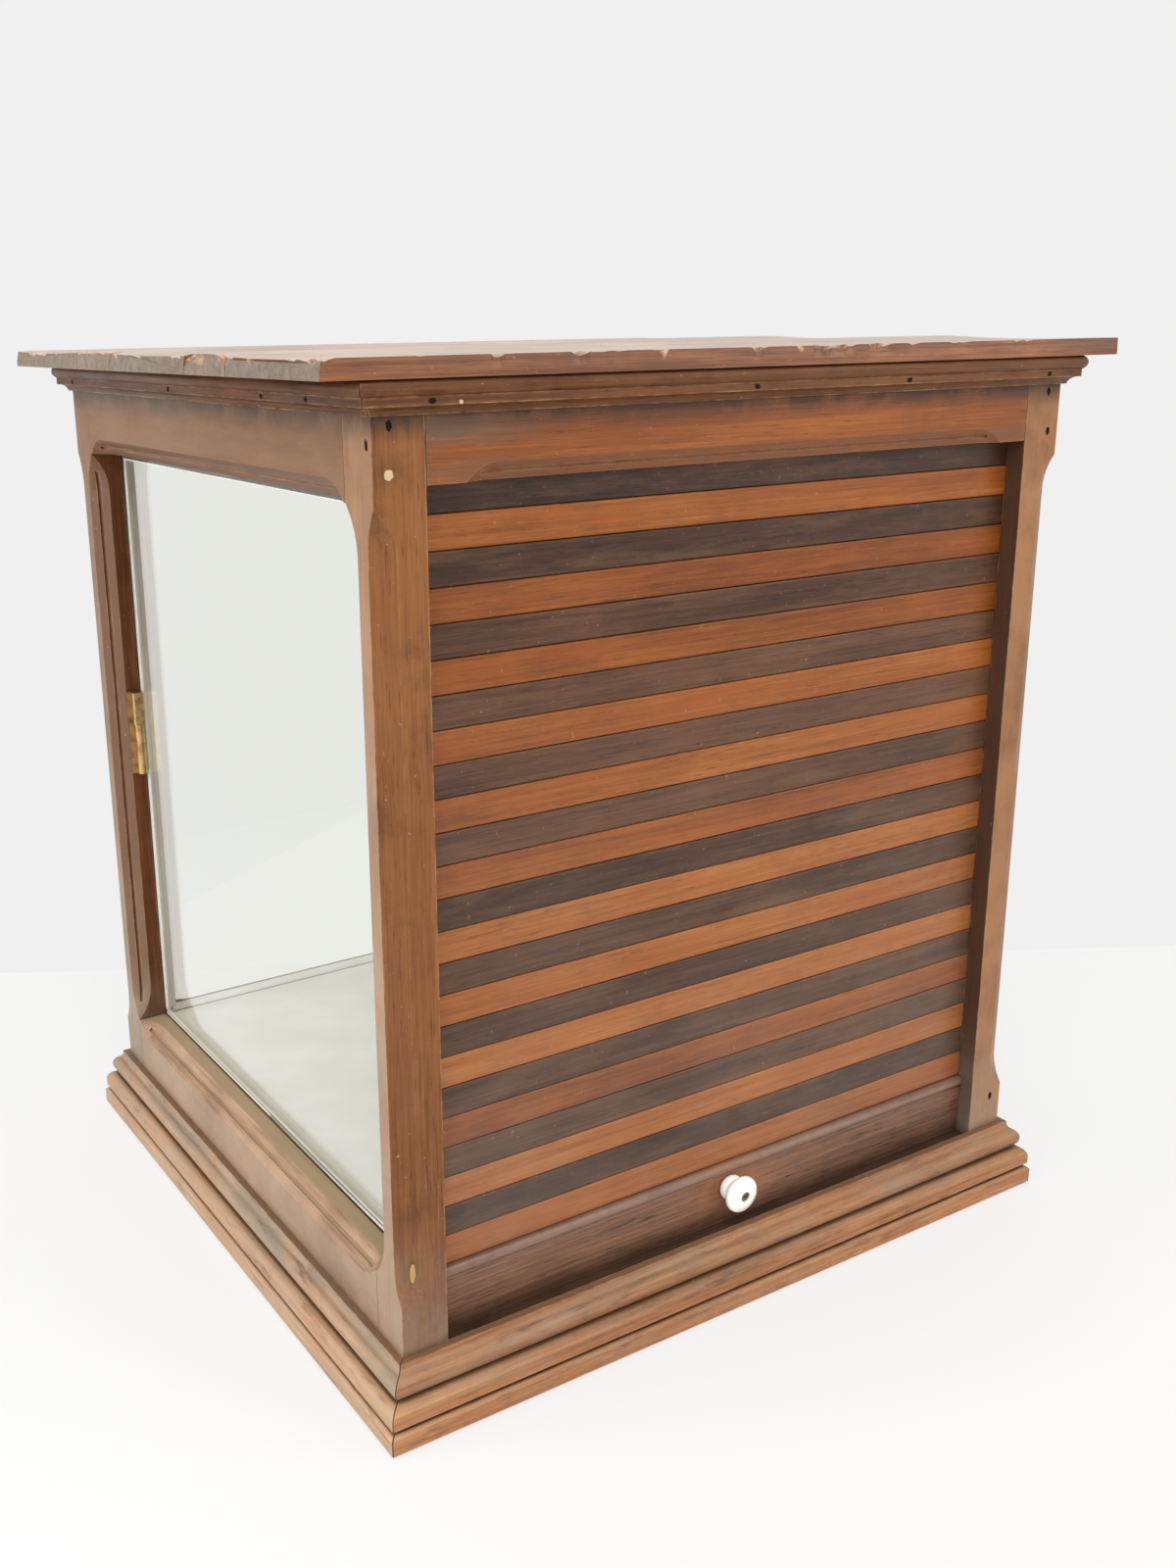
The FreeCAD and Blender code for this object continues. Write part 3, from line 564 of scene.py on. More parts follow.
def chamfer_mask(tree):
    """One on surfaces that face between two sides, such as a post's corner chamfer."""
    x, y, z = split(tree, face_normal(tree))
    both = calc(tree, "MINIMUM", size_of(tree, x), size_of(tree, y))
    return narrow(tree, both, *BETWEEN_SIDES)


def figure(tree, tones, axis, offset, spread):
    """Colour of plain wood: broad figure, fine fibres and blotches. Also returns its fields."""
    chance, shift = offset(tree)
    along = along_grain(tree, axis, shift, STRETCH)
    broad = noise(tree, along, BROAD_FIGURE)
    fibre = noise(tree, along_grain(tree, axis, shift, FINE_STRETCH), FIBRES)
    blotch = noise(tree, object_place(tree), BLOTCHES)
    tone = times(tree, calc(tree, "SUBTRACT", chance, 0.5), spread)
    for layer, share in zip((broad, fibre, blotch), FIGURE_SHARES):
        tone = calc(tree, "ADD", tone, times(tree, layer, share))
    colour = ramp(tree, tone, tuple(zip(TONE_STOPS, tones)))
    return colour, fibre, blotch, marks(tree, along, PORES)


def wood(
    name,
    tones,
    axis,
    offset=piece_offset,
    rough=0.42,
    shine=0.35,
    pores=0.5,
    grey=0.0,
    spread=0.35,
    worn=0.0,
    line=None,
    stain=0.0,
    specks=0.0,
    extra=None,
):
    """Old finished wood: figure, pores, dust, worn arrises with a painted highlight, painted shade in the
    corners and a varied sheen.
    """
    material, tree, shader = new_material(name)
    place = object_place(tree)
    colour, fibre, blotch, pore = figure(tree, tones, axis, offset, spread)
    pore = times(tree, pore, pores)
    colour = mix(tree, pore, colour, darker(tones[0], PORE_SHADE))
    if stain:
        colour = tint(tree, colour, darker(tones[0], STAIN_SHADE), marks(tree, place, STAINS), stain)
    if extra:
        colour = extra(tree, colour)
    if specks:
        colour = tint(tree, colour, BARE_WOOD_AND_HIGHLIGHT, marks(tree, place, SPECKS), specks)
    if grey:
        colour = tint(tree, colour, GREY_DUST, marks(tree, place, DUST), grey)
    if worn:
        # Worn arrises, paler also as a painted highlight along them
        colour = tint(tree, colour, BARE_WOOD_AND_HIGHLIGHT, worn_edge_and_highlight_mask(tree), worn)
        # Painted shade in the corners, darkened with the grime colour
        colour = tint(tree, colour, GRIME_AND_SHADE, corner_shade(tree), share=0.6)
    if line:
        colour = tint(tree, colour, GRIME_AND_SHADE, joint_line(tree, line), share=0.9)
    link(tree, colour, shader.inputs["Base Color"])
    sheen = times(tree, narrow(tree, blotch, *SHEEN_BLOTCHES), SHEEN_RANGE)
    link(tree, calc(tree, "ADD", sheen, rough - SHEEN_DROP), shader.inputs["Roughness"])
    shader.inputs["Specular IOR Level"].default_value = shine
    bump = tree.nodes.new("ShaderNodeBump")
    bump.inputs["Strength"].default_value = FIBRE_BUMP
    bump.inputs["Distance"].default_value = FIBRE_RISE
    link(tree, calc(tree, "SUBTRACT", fibre, pore), bump.inputs["Height"])
    link(tree, bump.outputs["Normal"], shader.inputs["Normal"])
    return material


def shade_and_grime_under_cornice(tree, colour):
    """Painted shade below the cornice's overhang, with some grime: a dark band broken up by noise."""
    height = split(tree, object_place(tree))[2]
    band = narrow(tree, height, CORNICE_LOW - CORNICE_SHADE_BAND[0], CORNICE_LOW - CORNICE_SHADE_BAND[1])
    # Painted shade and grime in a band under the cornice
    return tint(tree, colour, GRIME_AND_SHADE, patch(tree, band, CORNICE_SHADE_PATCHES), share=0.85)


def painted_side_light(tree, colour, share):
    """Painted light and sheen on the outer faces of the glazed sides: paler, and most so low down."""
    facing = size_of(tree, split(tree, face_normal(tree))[0])
    x, y, z = split(tree, object_place(tree))
    outside = narrow(tree, size_of(tree, x), HALF_W - SIDE_SKIN[0], HALF_W - SIDE_SKIN[1])
    aside = times(tree, narrow(tree, facing, *SIDEWAYS), outside)
    fall = times(tree, narrow(tree, z, FRAME_TOP, SIDE_LIGHT_FULL_Z), 1.0 - SIDE_LIGHT_LEAST)
    lower = calc(tree, "ADD", fall, SIDE_LIGHT_LEAST)
    patchy = times(tree, patch(tree, aside, SIDE_LIGHT_PATCHES), lower)
    return tint(tree, colour, SIDE_LIGHT_PAINTED, patchy, share)


def side_rail_wear_and_painted_light(tree, colour):
    """Brown and streaky at the head, painted shade on the undersides, rubbed slopes, dusty ledges, painted
    light on the outer faces that grows low down, and painted shade with grime under the cornice.
    """
    # Painted light and sheen on the outer side faces
    colour = painted_side_light(tree, colour, share=0.75)
    height = split(tree, object_place(tree))[2]
    high = narrow(tree, height, FRAME_TOP - HEAD_BAND[0], FRAME_TOP - HEAD_BAND[1])
    colour = tint(tree, colour, RAIL_BROWN, high, share=0.75)
    old_finish = times(tree, high, streaks(tree, DEEP, FINISH_STREAKS, PATCH_STRETCH))
    colour = tint(tree, colour, CHAMFER_BROWN_AND_SHADE, old_finish, share=0.5)
    up = split(tree, face_normal(tree))[2]
    # Painted shade on the faces that point down
    colour = tint(tree, colour, CHAMFER_BROWN_AND_SHADE, narrow(tree, up, *UNDERSIDE), share=0.65)
    sloped = narrow(tree, up, *SLOPED)
    colour = tint(tree, colour, RUBBED_SLOPE, patch(tree, sloped, SLOPE_PATCHES), share=0.45)
    lined = times(tree, sloped, streaks(tree, DEEP, SLOPE_LINES))
    colour = tint(tree, colour, CHAMFER_BROWN_AND_SHADE, lined, share=0.55)
    colour = tint(tree, colour, LEDGE_DUST, narrow(tree, up, *LEDGE), share=0.65)
    return shade_and_grime_under_cornice(tree, colour)


def post_wear_and_painted_light(tree, colour):
    """Painted shade in the reveals beside the tambour, a painted sheen on the right post, painted light on
    the outer side faces, darker chamfers with painted shade on the far ones, and painted shade with grime at
    the head and dirt at the foot.
    """
    x, y, height = split(tree, object_place(tree))
    aside, ahead, up = split(tree, face_normal(tree))
    # Painted shade on the reveals that face the tambour's opening
    inner = narrow(tree, size_of(tree, x), IN_X + REVEAL_SKIN[0], IN_X + REVEAL_SKIN[1])
    reveal = times(tree, inner, narrow(tree, size_of(tree, aside), *SQUARE_ON))
    reveal = times(tree, reveal, narrow(tree, y, -IN_Y + REVEAL_DEPTH, -IN_Y))
    colour = tint(tree, colour, REVEAL_SHADE, reveal, share=0.75)
    # Painted sheen on the front of the right post
    paler = times(tree, narrow(tree, x, 0.0, IN_X), narrow(tree, ahead, *FRONTWARD))
    colour = tint(tree, colour, RIGHT_POST_SHEEN, patch(tree, paler, RIGHT_POST_SHEEN_PATCHES), share=0.6)
    # Painted light and sheen on the outer side faces
    colour = painted_side_light(tree, colour, share=0.6)
    chamfer = chamfer_mask(tree)
    colour = tint(tree, colour, CHAMFER_DARK, chamfer, share=0.25)
    # Painted shade on the far posts' chamfers, from the plinth up
    shaded = times(tree, chamfer, narrow(tree, y, 0.0, IN_Y))
    shaded = times(tree, shaded, narrow(tree, height, PLINTH_TOP, FAR_SHADE_Z))
    colour = tint(tree, colour, CHAMFER_BROWN_AND_SHADE, shaded, share=0.65)
    colour = shade_and_grime_under_cornice(tree, colour)
    low = narrow(tree, height, PLINTH_TOP + FOOT_DUST_H, PLINTH_TOP)
    return tint(tree, colour, GREY_DUST, patch(tree, low, FOOT_PATCHES), share=0.55)


def front_rail_wear_and_painted_shade(tree, colour):
    """Painted shade with grime under the cornice, grey scuffs near the left end, and a darker brown moulding
    along the lower edge, partly dust and partly painted shade.
    """
    colour = shade_and_grime_under_cornice(tree, colour)
    x, y, height = split(tree, object_place(tree))
    band = narrow(tree, height, CORNICE_LOW - SCUFF_BAND[0], CORNICE_LOW - SCUFF_BAND[1])
    near_end = times(tree, narrow(tree, x, *SCUFF_X), band)
    scuffs = times(tree, near_end, streaks(tree, ACROSS, SCUFF_STREAKS))
    colour = tint(tree, colour, SCUFF_GREY, scuffs, share=0.75)
    # Darker brown moulding: dust, and painted shade on its turned profile
    mould = narrow(tree, height, FRONT_MOULD_TOP + MOULD_BLUR, FRONT_MOULD_TOP - MOULD_BLUR)
    return tint(tree, colour, MOULD_BROWN_AND_SHADE, patch(tree, mould, MOULD_PATCHES), share=0.6)


def plinth_wear_and_painted_light(axis, weathering, dust):
    """Dust on what faces up, painted light on the outer side faces, grey weathering on the upper moulding,
    dark wood with painted shade on the level faces, and scratches along the lowest band.
    """
    def apply(tree, colour):
        up = split(tree, face_normal(tree))[2]
        height = split(tree, object_place(tree))[2]
        dusty = patch(tree, narrow(tree, up, *FACING_UP), PLINTH_DUST_PATCHES)
        colour = tint(tree, colour, PLINTH_DUST, dusty, dust)
        # Painted light and sheen on the outer side faces
        colour = painted_side_light(tree, colour, share=0.6)
        paler = streaks(tree, axis, FADED_STREAKS, PATCH_STRETCH)
        colour = tint(tree, colour, PLINTH_DUST, paler, dust)
        nose = narrow(tree, height, PLINTH_SPLIT - NOSE_BLUR[0], PLINTH_SPLIT + NOSE_BLUR[1])
        weathered = times(tree, nose, streaks(tree, axis, WEATHER_STREAKS, PATCH_STRETCH))
        colour = tint(tree, colour, PLINTH_GREY, weathered, weathering)
        stained = streaks(tree, axis, STAIN_STREAKS, PATCH_STRETCH)
        colour = tint(tree, colour, GRIME_AND_SHADE, stained, share=0.7)
        # Level faces darker: dark wood, and the painted shade of the gap under the lift rail
        colour = tint(tree, colour, MOULD_BROWN_AND_SHADE, narrow(tree, up, *LEVEL), share=0.7)
        low = narrow(tree, height, PLINTH_GROOVE_Z, PLINTH_GROOVE_Z - LOW_BAND_BLUR)
        scratches = times(tree, low, streaks(tree, axis, SCRATCH_STREAKS))
        return tint(tree, colour, SCRATCH, scratches, share=0.6)

    return apply


def slat_wear_and_painted_sheen(patch_colour, share):
    """Broad patches of another tone along each slat, and a pale haze that grows towards the lift rail: dust,
    and a painted sheen for the table's reflection.
    """
    def apply(tree, colour):
        chance, shift = slat_offset(tree)
        clouds = marks(tree, along_grain(tree, ACROSS, shift, PATCH_STRETCH), SLAT_CLOUDS)
        colour = tint(tree, colour, patch_colour, clouds, share)
        x, y, height = split(tree, object_place(tree))
        right = patch(tree, narrow(tree, x, SLAT_END_X, IN_X), SLAT_END_PATCHES)
        colour = tint(tree, colour, patch_colour, right, SLAT_END_SHARE * share)
        # Pale haze low on the curtain: dust, and the painted sheen of the table's reflection
        low = narrow(tree, height, CURTAIN_TOP - HAZE_DROP, CURTAIN_LOW)
        return tint(tree, colour, HAZE_SHEEN_AND_DUST, patch(tree, low, HAZE_SHEEN_AND_DUST_PATCHES), share=0.2)

    return apply


def lift_wear(tree, colour):
    """A grey rubbed lip, warm wood where fingers reach round the knob, and a dark lower edge."""
    x, y, z = split(tree, object_place(tree))
    colour = tint(tree, colour, GRIME_AND_SHADE, streaks(tree, ACROSS, OPEN_GRAIN), share=0.6)
    lip = narrow(tree, z, LIFT_LIP_Z - LIP_BLUR, LIFT_LIP_Z + LIP_BLUR)
    colour = tint(tree, colour, LIP_GREY, patch(tree, lip, LIP_PATCHES), share=0.6)
    aside = times(tree, size_of(tree, calc(tree, "SUBTRACT", x, KNOB_MIDDLE.x)), FINGER_SQUEEZE)
    above = size_of(tree, calc(tree, "SUBTRACT", z, KNOB_MIDDLE.z))
    around = narrow(tree, calc(tree, "ADD", aside, above), *FINGER_REACH)
    colour = tint(tree, colour, RUBBED, patch(tree, around, FINGER_PATCHES), share=0.7)
    edge = narrow(tree, z, LIFT_LOW.z + LIFT_EDGE[0], LIFT_LOW.z + LIFT_EDGE[1])
    return tint(tree, colour, GRIME_AND_SHADE, patch(tree, edge, LIFT_EDGE_PATCHES), share=0.6)


def plank_faces(tree, colour):
    """Painted glare on the upper face, with raised grain, grey end grain, and pale chips along the upper
    arris.
    """
    x, y, z = split(tree, face_normal(tree))
    place = object_place(tree)
    # Painted glare on the upper face, with stains and raised grain in it
    up = narrow(tree, z, *TOP_SIDE)
    stain = marks(tree, place, TOP_STAINS)
    glare = mix(tree, stain, TOP_GLARE, darker(TOP_GLARE, TOP_STAIN_SHADE))
    raised = streaks(tree, ACROSS, RAISED_GRAIN)
    glare = tint(tree, glare, darker(TOP_GLARE, RAISED_SHADE), raised, share=0.6)
    colour = tint(tree, colour, glare, up, share=0.85)
    end = narrow(tree, size_of(tree, x), *SQUARE_ON)
    grain = mix(tree, marks(tree, place, END_RINGS), END_GREY, darker(END_GREY, RING_SHADE))
    colour = tint(tree, colour, grain, end, share=0.9)
    height = split(tree, place)[2]
    near_top = narrow(tree, height, TOP_FACE - CHIP_BAND[0], TOP_FACE - CHIP_BAND[1])
    broken = times(tree, near_top, marks(tree, place, TOP_BREAKS))
    chips = times(tree, broken, calc(tree, "SUBTRACT", 1.0, up))
    return tint(tree, colour, CHIP_PALE, chips, share=0.9)


def two_tone(tree, shader, pattern, tones):
    """Gives a shader a colour that passes from the first tone to the second with the noise."""
    *grain, low, high = pattern
    field_value = noise(tree, object_place(tree), grain)
    link(tree, ramp(tree, field_value, tuple(zip((low, high), tones))), shader.inputs["Base Color"])


def glass_material():
    """Clear old window glass. Light passes it without a shadow, so the inside of the case stays bright."""
    material, tree, shader = new_material("clear_pane")
    shader.inputs["Base Color"].default_value = (*GLASS_TINT, 1.0)
    shader.inputs["Transmission Weight"].default_value = 1.0
    shader.inputs["Roughness"].default_value = 0.0
    shader.inputs["IOR"].default_value = 1.45
    through = tree.nodes.new("ShaderNodeBsdfTransparent")
    through.inputs["Color"].default_value = (*GLASS_SHADE, 1.0)
    path = tree.nodes.new("ShaderNodeLightPath")
    soft = calc(tree, "MAXIMUM", path.outputs["Is Shadow Ray"], path.outputs["Is Diffuse Ray"])
    set_surface(tree, shader_switch(tree, soft, shader.outputs[0], through.outputs[0]))
    return material


def floor_material():
    """White matt paint on the floor of the case and the beads, a little yellowed and scuffed."""
    material, tree, shader = new_material("painted_floor")
    two_tone(tree, shader, FLOOR_SCUFFS, FLOOR_PAINT)
    shader.inputs["Roughness"].default_value = 0.6
    return material


def porcelain_material():
    material, tree, shader = new_material("porcelain")
    shader.inputs["Base Color"].default_value = (*PORCELAIN, 1.0)
    shader.inputs["Roughness"].default_value = 0.12
    shader.inputs["Coat Weight"].default_value = 0.6
    shader.inputs["Coat Roughness"].default_value = 0.06
    return material


def brass_material(name, tones):
    """Brass gone brown in patches."""
    material, tree, shader = new_material(name)
    two_tone(tree, shader, BRASS_STAINS, tones)
    shader.inputs["Metallic"].default_value = 1.0
    shader.inputs["Roughness"].default_value = 0.32
    return material


def canvas_material():
    material, tree, shader = new_material("canvas")
    two_tone(tree, shader, WEAVE, CANVAS)
    shader.inputs["Roughness"].default_value = 0.9
    return material


def plain_material(name, colour, rough, shine=0.5):
    material, tree, shader = new_material(name)
    shader.inputs["Base Color"].default_value = (*colour, 1.0)
    shader.inputs["Roughness"].default_value = rough
    shader.inputs["Specular IOR Level"].default_value = shine
    return material


def paint(name, material):
    mesh = nodes[name].data
    mesh.materials.clear()
    mesh.materials.append(material)


def soften(piece):
    """Takes the sharpness off a wooden piece's arrises."""
    weld = piece.modifiers.new("join_faces", "WELD")
    weld.merge_threshold = WELD
    bevel = piece.modifiers.new("worn_arris", "BEVEL")
    bevel.width = BEVEL
    bevel.segments = BEVEL_STEPS
    bevel.limit_method = "ANGLE"
    bevel.angle_limit = BEVEL_ANGLE
    bevel.use_clamp_overlap = True
    bevel.harden_normals = True


def frame_looks():
    """Materials of the frame, mouldings and floor, by the kind of piece and the run of its grain."""
    post = {"shine": 0.28, "worn": 0.7, "stain": 0.5, "specks": 0.5}
    front = {"shine": 0.25, "worn": 0.5, "line": "across", "stain": 0.35, "specks": 0.3}
    side = {"shine": 0.28, "worn": 0.6, "line": "deep", "stain": 0.4, "specks": 0.3}
    back = {"shine": 0.28, "worn": 0.6, "line": "across", "grey": 0.18}
    cornice = {"shine": 0.2, "worn": 0.7, "line": "mitre", "stain": 0.5, "specks": 0.4}
    plinth = {"rough": 0.5, "shine": 0.35, "worn": 0.9, "line": "mitre", "stain": 0.4, "specks": 0.6}
    front_plinth_wear_and_light = plinth_wear_and_painted_light(ACROSS, weathering=0.28, dust=0.25)
    side_plinth_wear_and_light = plinth_wear_and_painted_light(DEEP, weathering=0.85, dust=0.45)
    return {
        "post": wood("frame_upright", POST_TONES, UPRIGHT, extra=post_wear_and_painted_light, **post),
        "front_rail": wood("front_rail_wood", RAIL_TONES, ACROSS, extra=front_rail_wear_and_painted_shade, **front),
        "rail_across": wood("frame_across", POST_TONES, ACROSS, **back),
        "rail_deep": wood("frame_deep", POST_TONES, DEEP, extra=side_rail_wear_and_painted_light, **side),
        "cornice_across": wood("cornice_across", CORNICE_TONES, ACROSS, **cornice),
        "cornice_deep": wood("cornice_deep", CORNICE_TONES, DEEP, **cornice),
        "plinth_across": wood("plinth_across", PLINTH_TONES, ACROSS, extra=front_plinth_wear_and_light, **plinth),
        "plinth_deep": wood("plinth_deep", PLINTH_TONES, DEEP, extra=side_plinth_wear_and_light, **plinth),
        # Sill in very dark tones, which also paint the gap's shade
        "sill": wood("sill_wood", SILL_TONES, ACROSS, rough=0.6, shine=0.1, worn=0.3, stain=0.8),
        "inner": wood("inner_plank", INNER_TONES, ACROSS, rough=0.6),
        "white": floor_material(),
    }


def look_of(name):
    """Which of those materials a piece has, or none if another function dresses it."""
    run = "_deep" if name.endswith(("_left", "_right")) else "_across"
    if name == "floor_board" or name.startswith("glass_beads"):
        return "white"
    if name == "rail_top_front":
        return "front_rail"
    if name == "sill_front":
        return "sill"
    if name.startswith("post"):
        return "post"
    if name.startswith(("rail", "cornice", "plinth")):
        return name.split("_")[0] + run
    if name.startswith(("floor", "bottom")):
        return "inner"
    return None


def dress_frame():
    looks = frame_looks()
    for name in nodes:
        look = look_of(name)
        if look:
            paint(name, looks[look])
            soften(nodes[name])


def dress_fittings():
    clear = glass_material()
    for name in ("glass_left", "glass_right", "glass_back"):
        paint(name, clear)
    paint("glass_clips", brass_material("old_brass", CLIP_BRASS))
    paint("knob_screw", brass_material("dull_screw", SCREW_BRASS))
    paint("knob", porcelain_material())
    for face in nodes["knob"].data.polygons:
        face.use_smooth = True
    oiled = {"rough": 0.45, "shine": 0.5, "pores": 0.9, "worn": 0.4}
    paint("lift_rail", wood("lift_rail_wood", LIFT_TONES, ACROSS, extra=lift_wear, **oiled))
    soften(nodes["lift_rail"])


def new_piece(name, points, faces, material, body):
    mesh = bpy.data.meshes.new(name)
    mesh.from_pydata(points, [], faces)
    mesh.materials.append(material)
    piece = bpy.data.objects.new(name, mesh)
    bpy.context.scene.collection.objects.link(piece)
    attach(piece, body)
    return piece


def steps(start, end, size):
    """Evenly spaced values from start to end, about size apart."""
    count = max(1, round(abs(end - start) / size))
    return [start + (end - start) * i / count for i in range(count + 1)]


def plank_ring(low, high):
    """Section of a plank in the YZ plane, once round, its upper face dished or crowned as the solid's is."""
    crown = high.z - TOP_FACE if high.z > TOP_FACE + LEAST_CROWN else -PLANK_DISH
    middle = (low.y + high.y) / 2
    half = (high.y - low.y) / 2
    ring = [(low.y, z) for z in steps(low.z, TOP_FACE, EDGE_STEP)]
    for y in steps(low.y, high.y, FACE_STEP)[1:]:
        ring.append((y, TOP_FACE + crown * (1 - ((y - middle) / half) ** 2)))
    ring += [(high.y, z) for z in steps(TOP_FACE, low.z, EDGE_STEP)[1:]]
    return ring


def chip_depth(x, y, seed):
    """How deep an arris is broken at a place: rubbed everywhere, and chipped where the noise is high."""
    chips = field.noise(Vector((x * CHIPS_PER_M + seed, y * CHIPS_PER_M, seed)))
    splinters = field.noise(Vector((x * SPLINTERS_PER_M, y * SPLINTERS_PER_M, seed)))
    rough = chips + SPLINTER_SHARE * splinters
    return RUBBED_DEPTH + CHIP_DEPTH * max(0.0, rough - CHIP_START)


def chipped(point, x0, x1, seed):
    """A point of a plank, moved in where the arris above it is broken or rubbed away."""
    x, y, z = point
    to_end = min(x - x0, x1 - x)
    to_face = min(y - TOP_FRONT, TOP_BACK - y)
    under = max(0.0, TOP_FACE - z)
    near = max(0.0, 1.0 - (min(to_end, to_face) + under) / CHIP_REACH)
    depth = chip_depth(x, y, seed)
    inward = CHIP_INWARD * depth * near
    if to_face < to_end:
        y += inward if y - TOP_FRONT < TOP_BACK - y else -inward
    else:
        x += inward if x - x0 < x1 - x else -inward
    return x, y, z - depth * near


def worn_plank(node, material, seed):
    """Stands for a top plank: the same plank with its exposed upper arrises chipped."""
    low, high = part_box(node)
    ring = plank_ring(low, high)
    stations = steps(low.x, high.x, LENGTH_STEP)
    points = []
    for x in stations:
        for y, z in ring:
            points.append(chipped((x, y, z), low.x, high.x, seed))
    count = len(ring)
    faces = [tuple(range(count)), tuple(range(len(points) - 1, len(points) - count - 1, -1))]
    for i in range(len(stations) - 1):
        for j in range(count):
            k = (j + 1) % count
            faces.append((i * count + j, (i + 1) * count + j, (i + 1) * count + k, i * count + k))
    piece = new_piece(node + "_worn", points, faces, material, "case")
    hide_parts(node)


def dress_top():
    bare = {"rough": 0.4, "shine": 0.45, "stain": 0.6, "specks": 0.4}
    plank = wood("top_plank", TOP_TONES, ACROSS, extra=plank_faces, **bare)
    for i, node in enumerate(PLANKS):
        worn_plank(node, plank, PLANK_SEED * i)


def curtain_piece(node, material):
    """A copy of a curtain node, with its own material, standing in for the hidden node."""
    source = nodes[node]
    piece = bpy.data.objects.new(node + "_curtain", source.data.copy())
    bpy.context.scene.collection.objects.link(piece)
    piece.data.materials.clear()
    piece.data.materials.append(material)
    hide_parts(node)
    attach(piece, "case")
    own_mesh(piece)


def dress_curtain():
    slat = {"offset": slat_offset, "rough": 0.4, "shine": 0.3, "pores": 0.5, "spread": 0.24, "specks": 0.25}
    light = wood("light_slat", LIGHT_TONES, ACROSS, stain=0.3, extra=slat_wear_and_painted_sheen(RED_PATCH, 0.6), **slat)
    dark = wood("dark_slat", DARK_TONES, ACROSS, extra=slat_wear_and_painted_sheen(BROWN_PATCH, 0.5), **slat)
    curtain_piece("slats_light", light)
    curtain_piece("slats_dark", dark)
    curtain_piece("tambour_canvas", canvas_material())


def spot(centre, normal, radius, tall, seed):
    """A small flat blot on an upright surface, with an uneven outline and a slightly raised middle."""
    chance = random.Random(seed)
    normal = Vector(normal)
    up = Vector((0, 0, tall))
    across = normal.cross(up).normalized()
    base = Vector(centre)
    points = [base + normal * BLOT_RISE]
    for i in range(BLOT_SIDES):
        angle = 2 * math.pi * i / BLOT_SIDES
        reach = radius * chance.uniform(*BLOT_UNEVEN)
        outward = reach * (math.cos(angle) * across + math.sin(angle) * up)
        points.append(base + normal * BLOT_LIFT + outward)
    faces = [(0, 1 + i, 1 + (i + 1) % BLOT_SIDES) for i in range(BLOT_SIDES)]
    return points, faces


def spots_piece(name, places, material):
    points, faces = [], []
    for i, (centre, normal, radius, tall) in enumerate(places):
        more, rim = spot(centre, normal, radius, tall, i)
        faces += [tuple(len(points) + k for k in face) for face in rim]
        points += more
    new_piece(name, points, faces, material, "case")


def add_nails():
    """Set nails: along the cornice, and through the tenons of the front posts."""
    cornice_front = -HALF_D - CORNICE_FILLET_OUT
    cornice_left = -HALF_W - CORNICE_FILLET_OUT
    places = []
    for x in CORNICE_NAILS_X:
        places.append(((x, cornice_front, CORNICE_FILLET_Z), FRONT, HOLE_R, HOLE_TALL))
    for y in CORNICE_NAILS_Y:
        places.append(((cornice_left, y, CORNICE_FILLET_Z), LEFT, HOLE_R, HOLE_TALL))
    for x, z in POST_NAILS_XZ:
        places.append(((x, -HALF_D, z), FRONT, NAIL_R, NAIL_TALL))
    places.append(((-HALF_W, *LEFT_NAIL_YZ), LEFT, NAIL_R, NAIL_TALL))
    iron = plain_material("nail_iron", NAIL_IRON, rough=0.7, shine=0.05)
    spots_piece("nails", places, iron)


def add_marks():
    """A drop of old paint on the near post, a speck on the cornice and a gouge near the post's foot."""
    drop = ((DROP_X, -HALF_D, DROP_Z), FRONT, DROP_R, DROP_TALL)
    speck_at = (SPECK_X, -HALF_D - CORNICE_FILLET_OUT, CORNICE_FILLET_Z - SPECK_BELOW)
    speck = (speck_at, FRONT, SPECK_R, SPECK_TALL)
    gouge = ((GOUGE_X, -HALF_D, GOUGE_Z), FRONT, GOUGE_R, GOUGE_TALL)
    old_paint = plain_material("old_paint", OLD_PAINT, rough=0.6)
    bare_gouge = plain_material("bare_gouge", GOUGE_WOOD, rough=0.7)
    spots_piece("paint_marks", [drop, speck], old_paint)
    spots_piece("gouge", [gouge], bare_gouge)


def seen_mix(tree, shade, eye):
    """Light Path switch: what the camera and reflections see, apart from what lights the object."""
    path = tree.nodes.new("ShaderNodeLightPath")
    seen = calc(tree, "MAXIMUM", path.outputs["Is Camera Ray"], path.outputs["Is Glossy Ray"])
    seen = calc(tree, "MAXIMUM", seen, path.outputs["Is Transmission Ray"])
    return shader_switch(tree, seen, shade, eye)


def glow(tree, colour):
    node = tree.nodes.new("ShaderNodeEmission")
    node.inputs["Color"].default_value = (*colour, 1.0)
    return node.outputs[0]


def wall_material():
    """White wall: even for the eye, matt white for the light that falls on it."""
    material, tree, shader = new_material("white_wall")
    shader.inputs["Base Color"].default_value = (*WALL_WHITE, 1.0)
    shader.inputs["Roughness"].default_value = 0.9
    set_surface(tree, seen_mix(tree, shader.outputs[0], glow(tree, WALL_SEEN)))
    return material


def table_material():
    """Pale table: partly even for the eye, so that it stays light and still takes a soft shadow."""
    material, tree, shader = new_material("pale_table")
    shader.inputs["Base Color"].default_value = (*TABLE_WHITE, 1.0)
    shader.inputs["Roughness"].default_value = 0.7
    eye = shader_switch(tree, TABLE_SHADED, glow(tree, TABLE_SEEN), shader.outputs[0])
    set_surface(tree, seen_mix(tree, shader.outputs[0], eye))
    return material


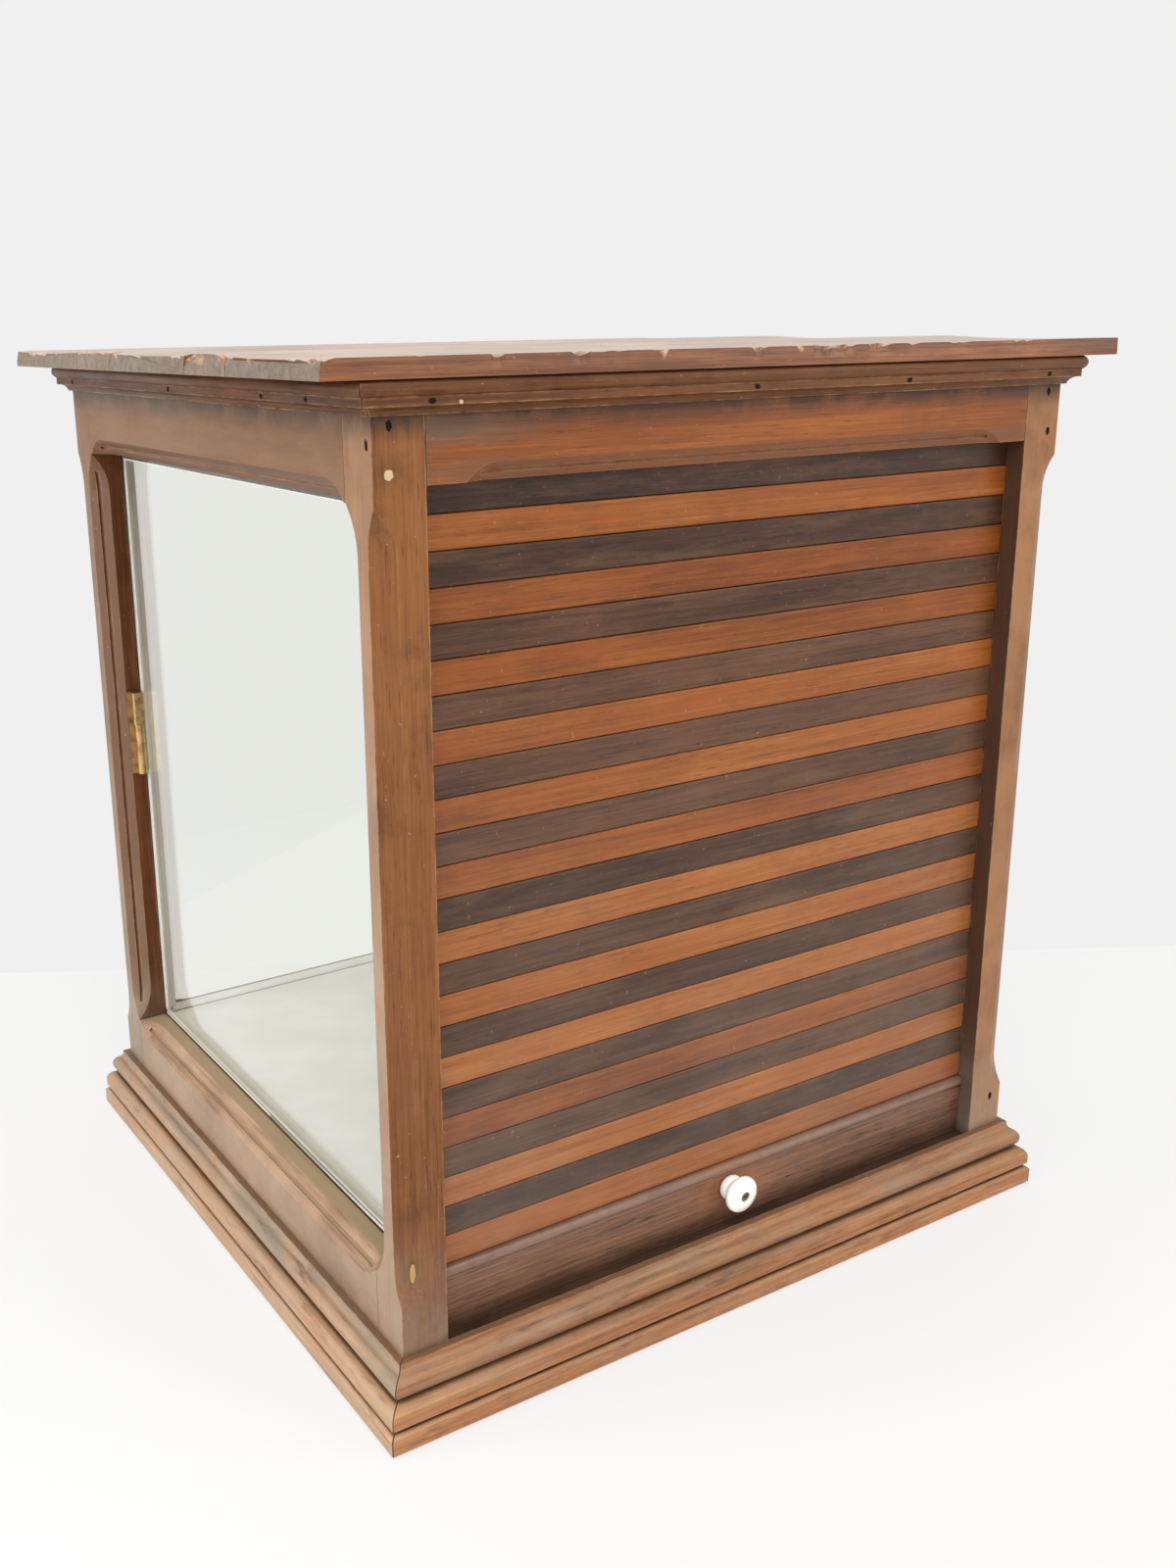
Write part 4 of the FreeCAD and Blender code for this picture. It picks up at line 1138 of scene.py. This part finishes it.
def build_world():
    world = bpy.data.worlds.new("studio")
    bpy.context.scene.world = world
    world.use_nodes = True
    fill = world.node_tree.nodes["Background"]
    fill.inputs["Color"].default_value = (*WORLD_WHITE, 1.0)
    fill.inputs["Strength"].default_value = WORLD_STRENGTH


def stage_plane(name, corners, material):
    mesh = bpy.data.meshes.new(name)
    mesh.from_pydata(corners, [], [(0, 1, 2, 3)])
    mesh.materials.append(material)
    plane = bpy.data.objects.new(name, mesh)
    bpy.context.scene.collection.objects.link(plane)


def build_stage():
    """A pale table under the case, and a white wall behind it."""
    left, right = (Vector((x, y, 0)) for x, y in TABLE_BACK)
    edge = (right - left).normalized()
    near = Vector((edge.y, -edge.x, 0)) * STAGE_SIZE
    back_left = left - edge * STAGE_SIZE
    back_right = left + edge * STAGE_SIZE
    stage_plane("table", [back_left + near, back_right + near, back_right, back_left], table_material())
    ahead = Vector((-math.sin(CAMERA_TURN), math.cos(CAMERA_TURN), 0))
    across = Vector((ahead.y, -ahead.x, 0)) * STAGE_SIZE
    up = Vector((0, 0, STAGE_SIZE))
    foot = ahead * WALL_BACK
    corners = [foot - across - up, foot + across - up, foot + across + up, foot - across + up]
    stage_plane("wall", corners, wall_material())


def build_lights():
    for name, at, size, watts in LAMPS:
        data = bpy.data.lights.new(name, "AREA")
        data.shape = "SQUARE"
        data.size = size
        data.energy = watts
        lamp = bpy.data.objects.new(name, data)
        bpy.context.scene.collection.objects.link(lamp)
        lamp.location = at
        lamp.rotation_euler = (Vector(LAMP_TARGET) - Vector(at)).to_track_quat("-Z", "Y").to_euler()


def build_camera():
    turn, pitch, roll = CAMERA_TURN, CAMERA_PITCH, CAMERA_ROLL
    ahead = Vector((-math.sin(turn) * math.cos(pitch), math.cos(turn) * math.cos(pitch), -math.sin(pitch)))
    right = Vector((math.cos(turn), math.sin(turn), 0.0))
    up = right.cross(ahead)
    across = math.cos(roll) * right + math.sin(roll) * up
    upward = math.cos(roll) * up - math.sin(roll) * right
    data = bpy.data.cameras.new("camera")
    camera = bpy.data.objects.new("camera", data)
    bpy.context.scene.collection.objects.link(camera)
    turned = Matrix((across, upward, -ahead)).transposed().to_4x4()
    camera.matrix_world = Matrix.Translation(CAMERA_AT) @ turned
    data.sensor_fit = "VERTICAL"
    data.sensor_height = SENSOR
    data.lens = FOCAL_PX / IMAGE_H * SENSOR
    data.shift_x = (IMAGE_W / 2 - CENTRE_PX[0]) / IMAGE_H
    data.shift_y = (CENTRE_PX[1] - IMAGE_H / 2) / IMAGE_H
    data.clip_start = CAMERA_NEAR
    bpy.context.scene.camera = camera


bpy.context.scene.view_settings.view_transform = "Standard"
dress_frame()
dress_fittings()
dress_top()
dress_curtain()
add_nails()
add_marks()
build_world()
build_stage()
build_lights()
build_camera()
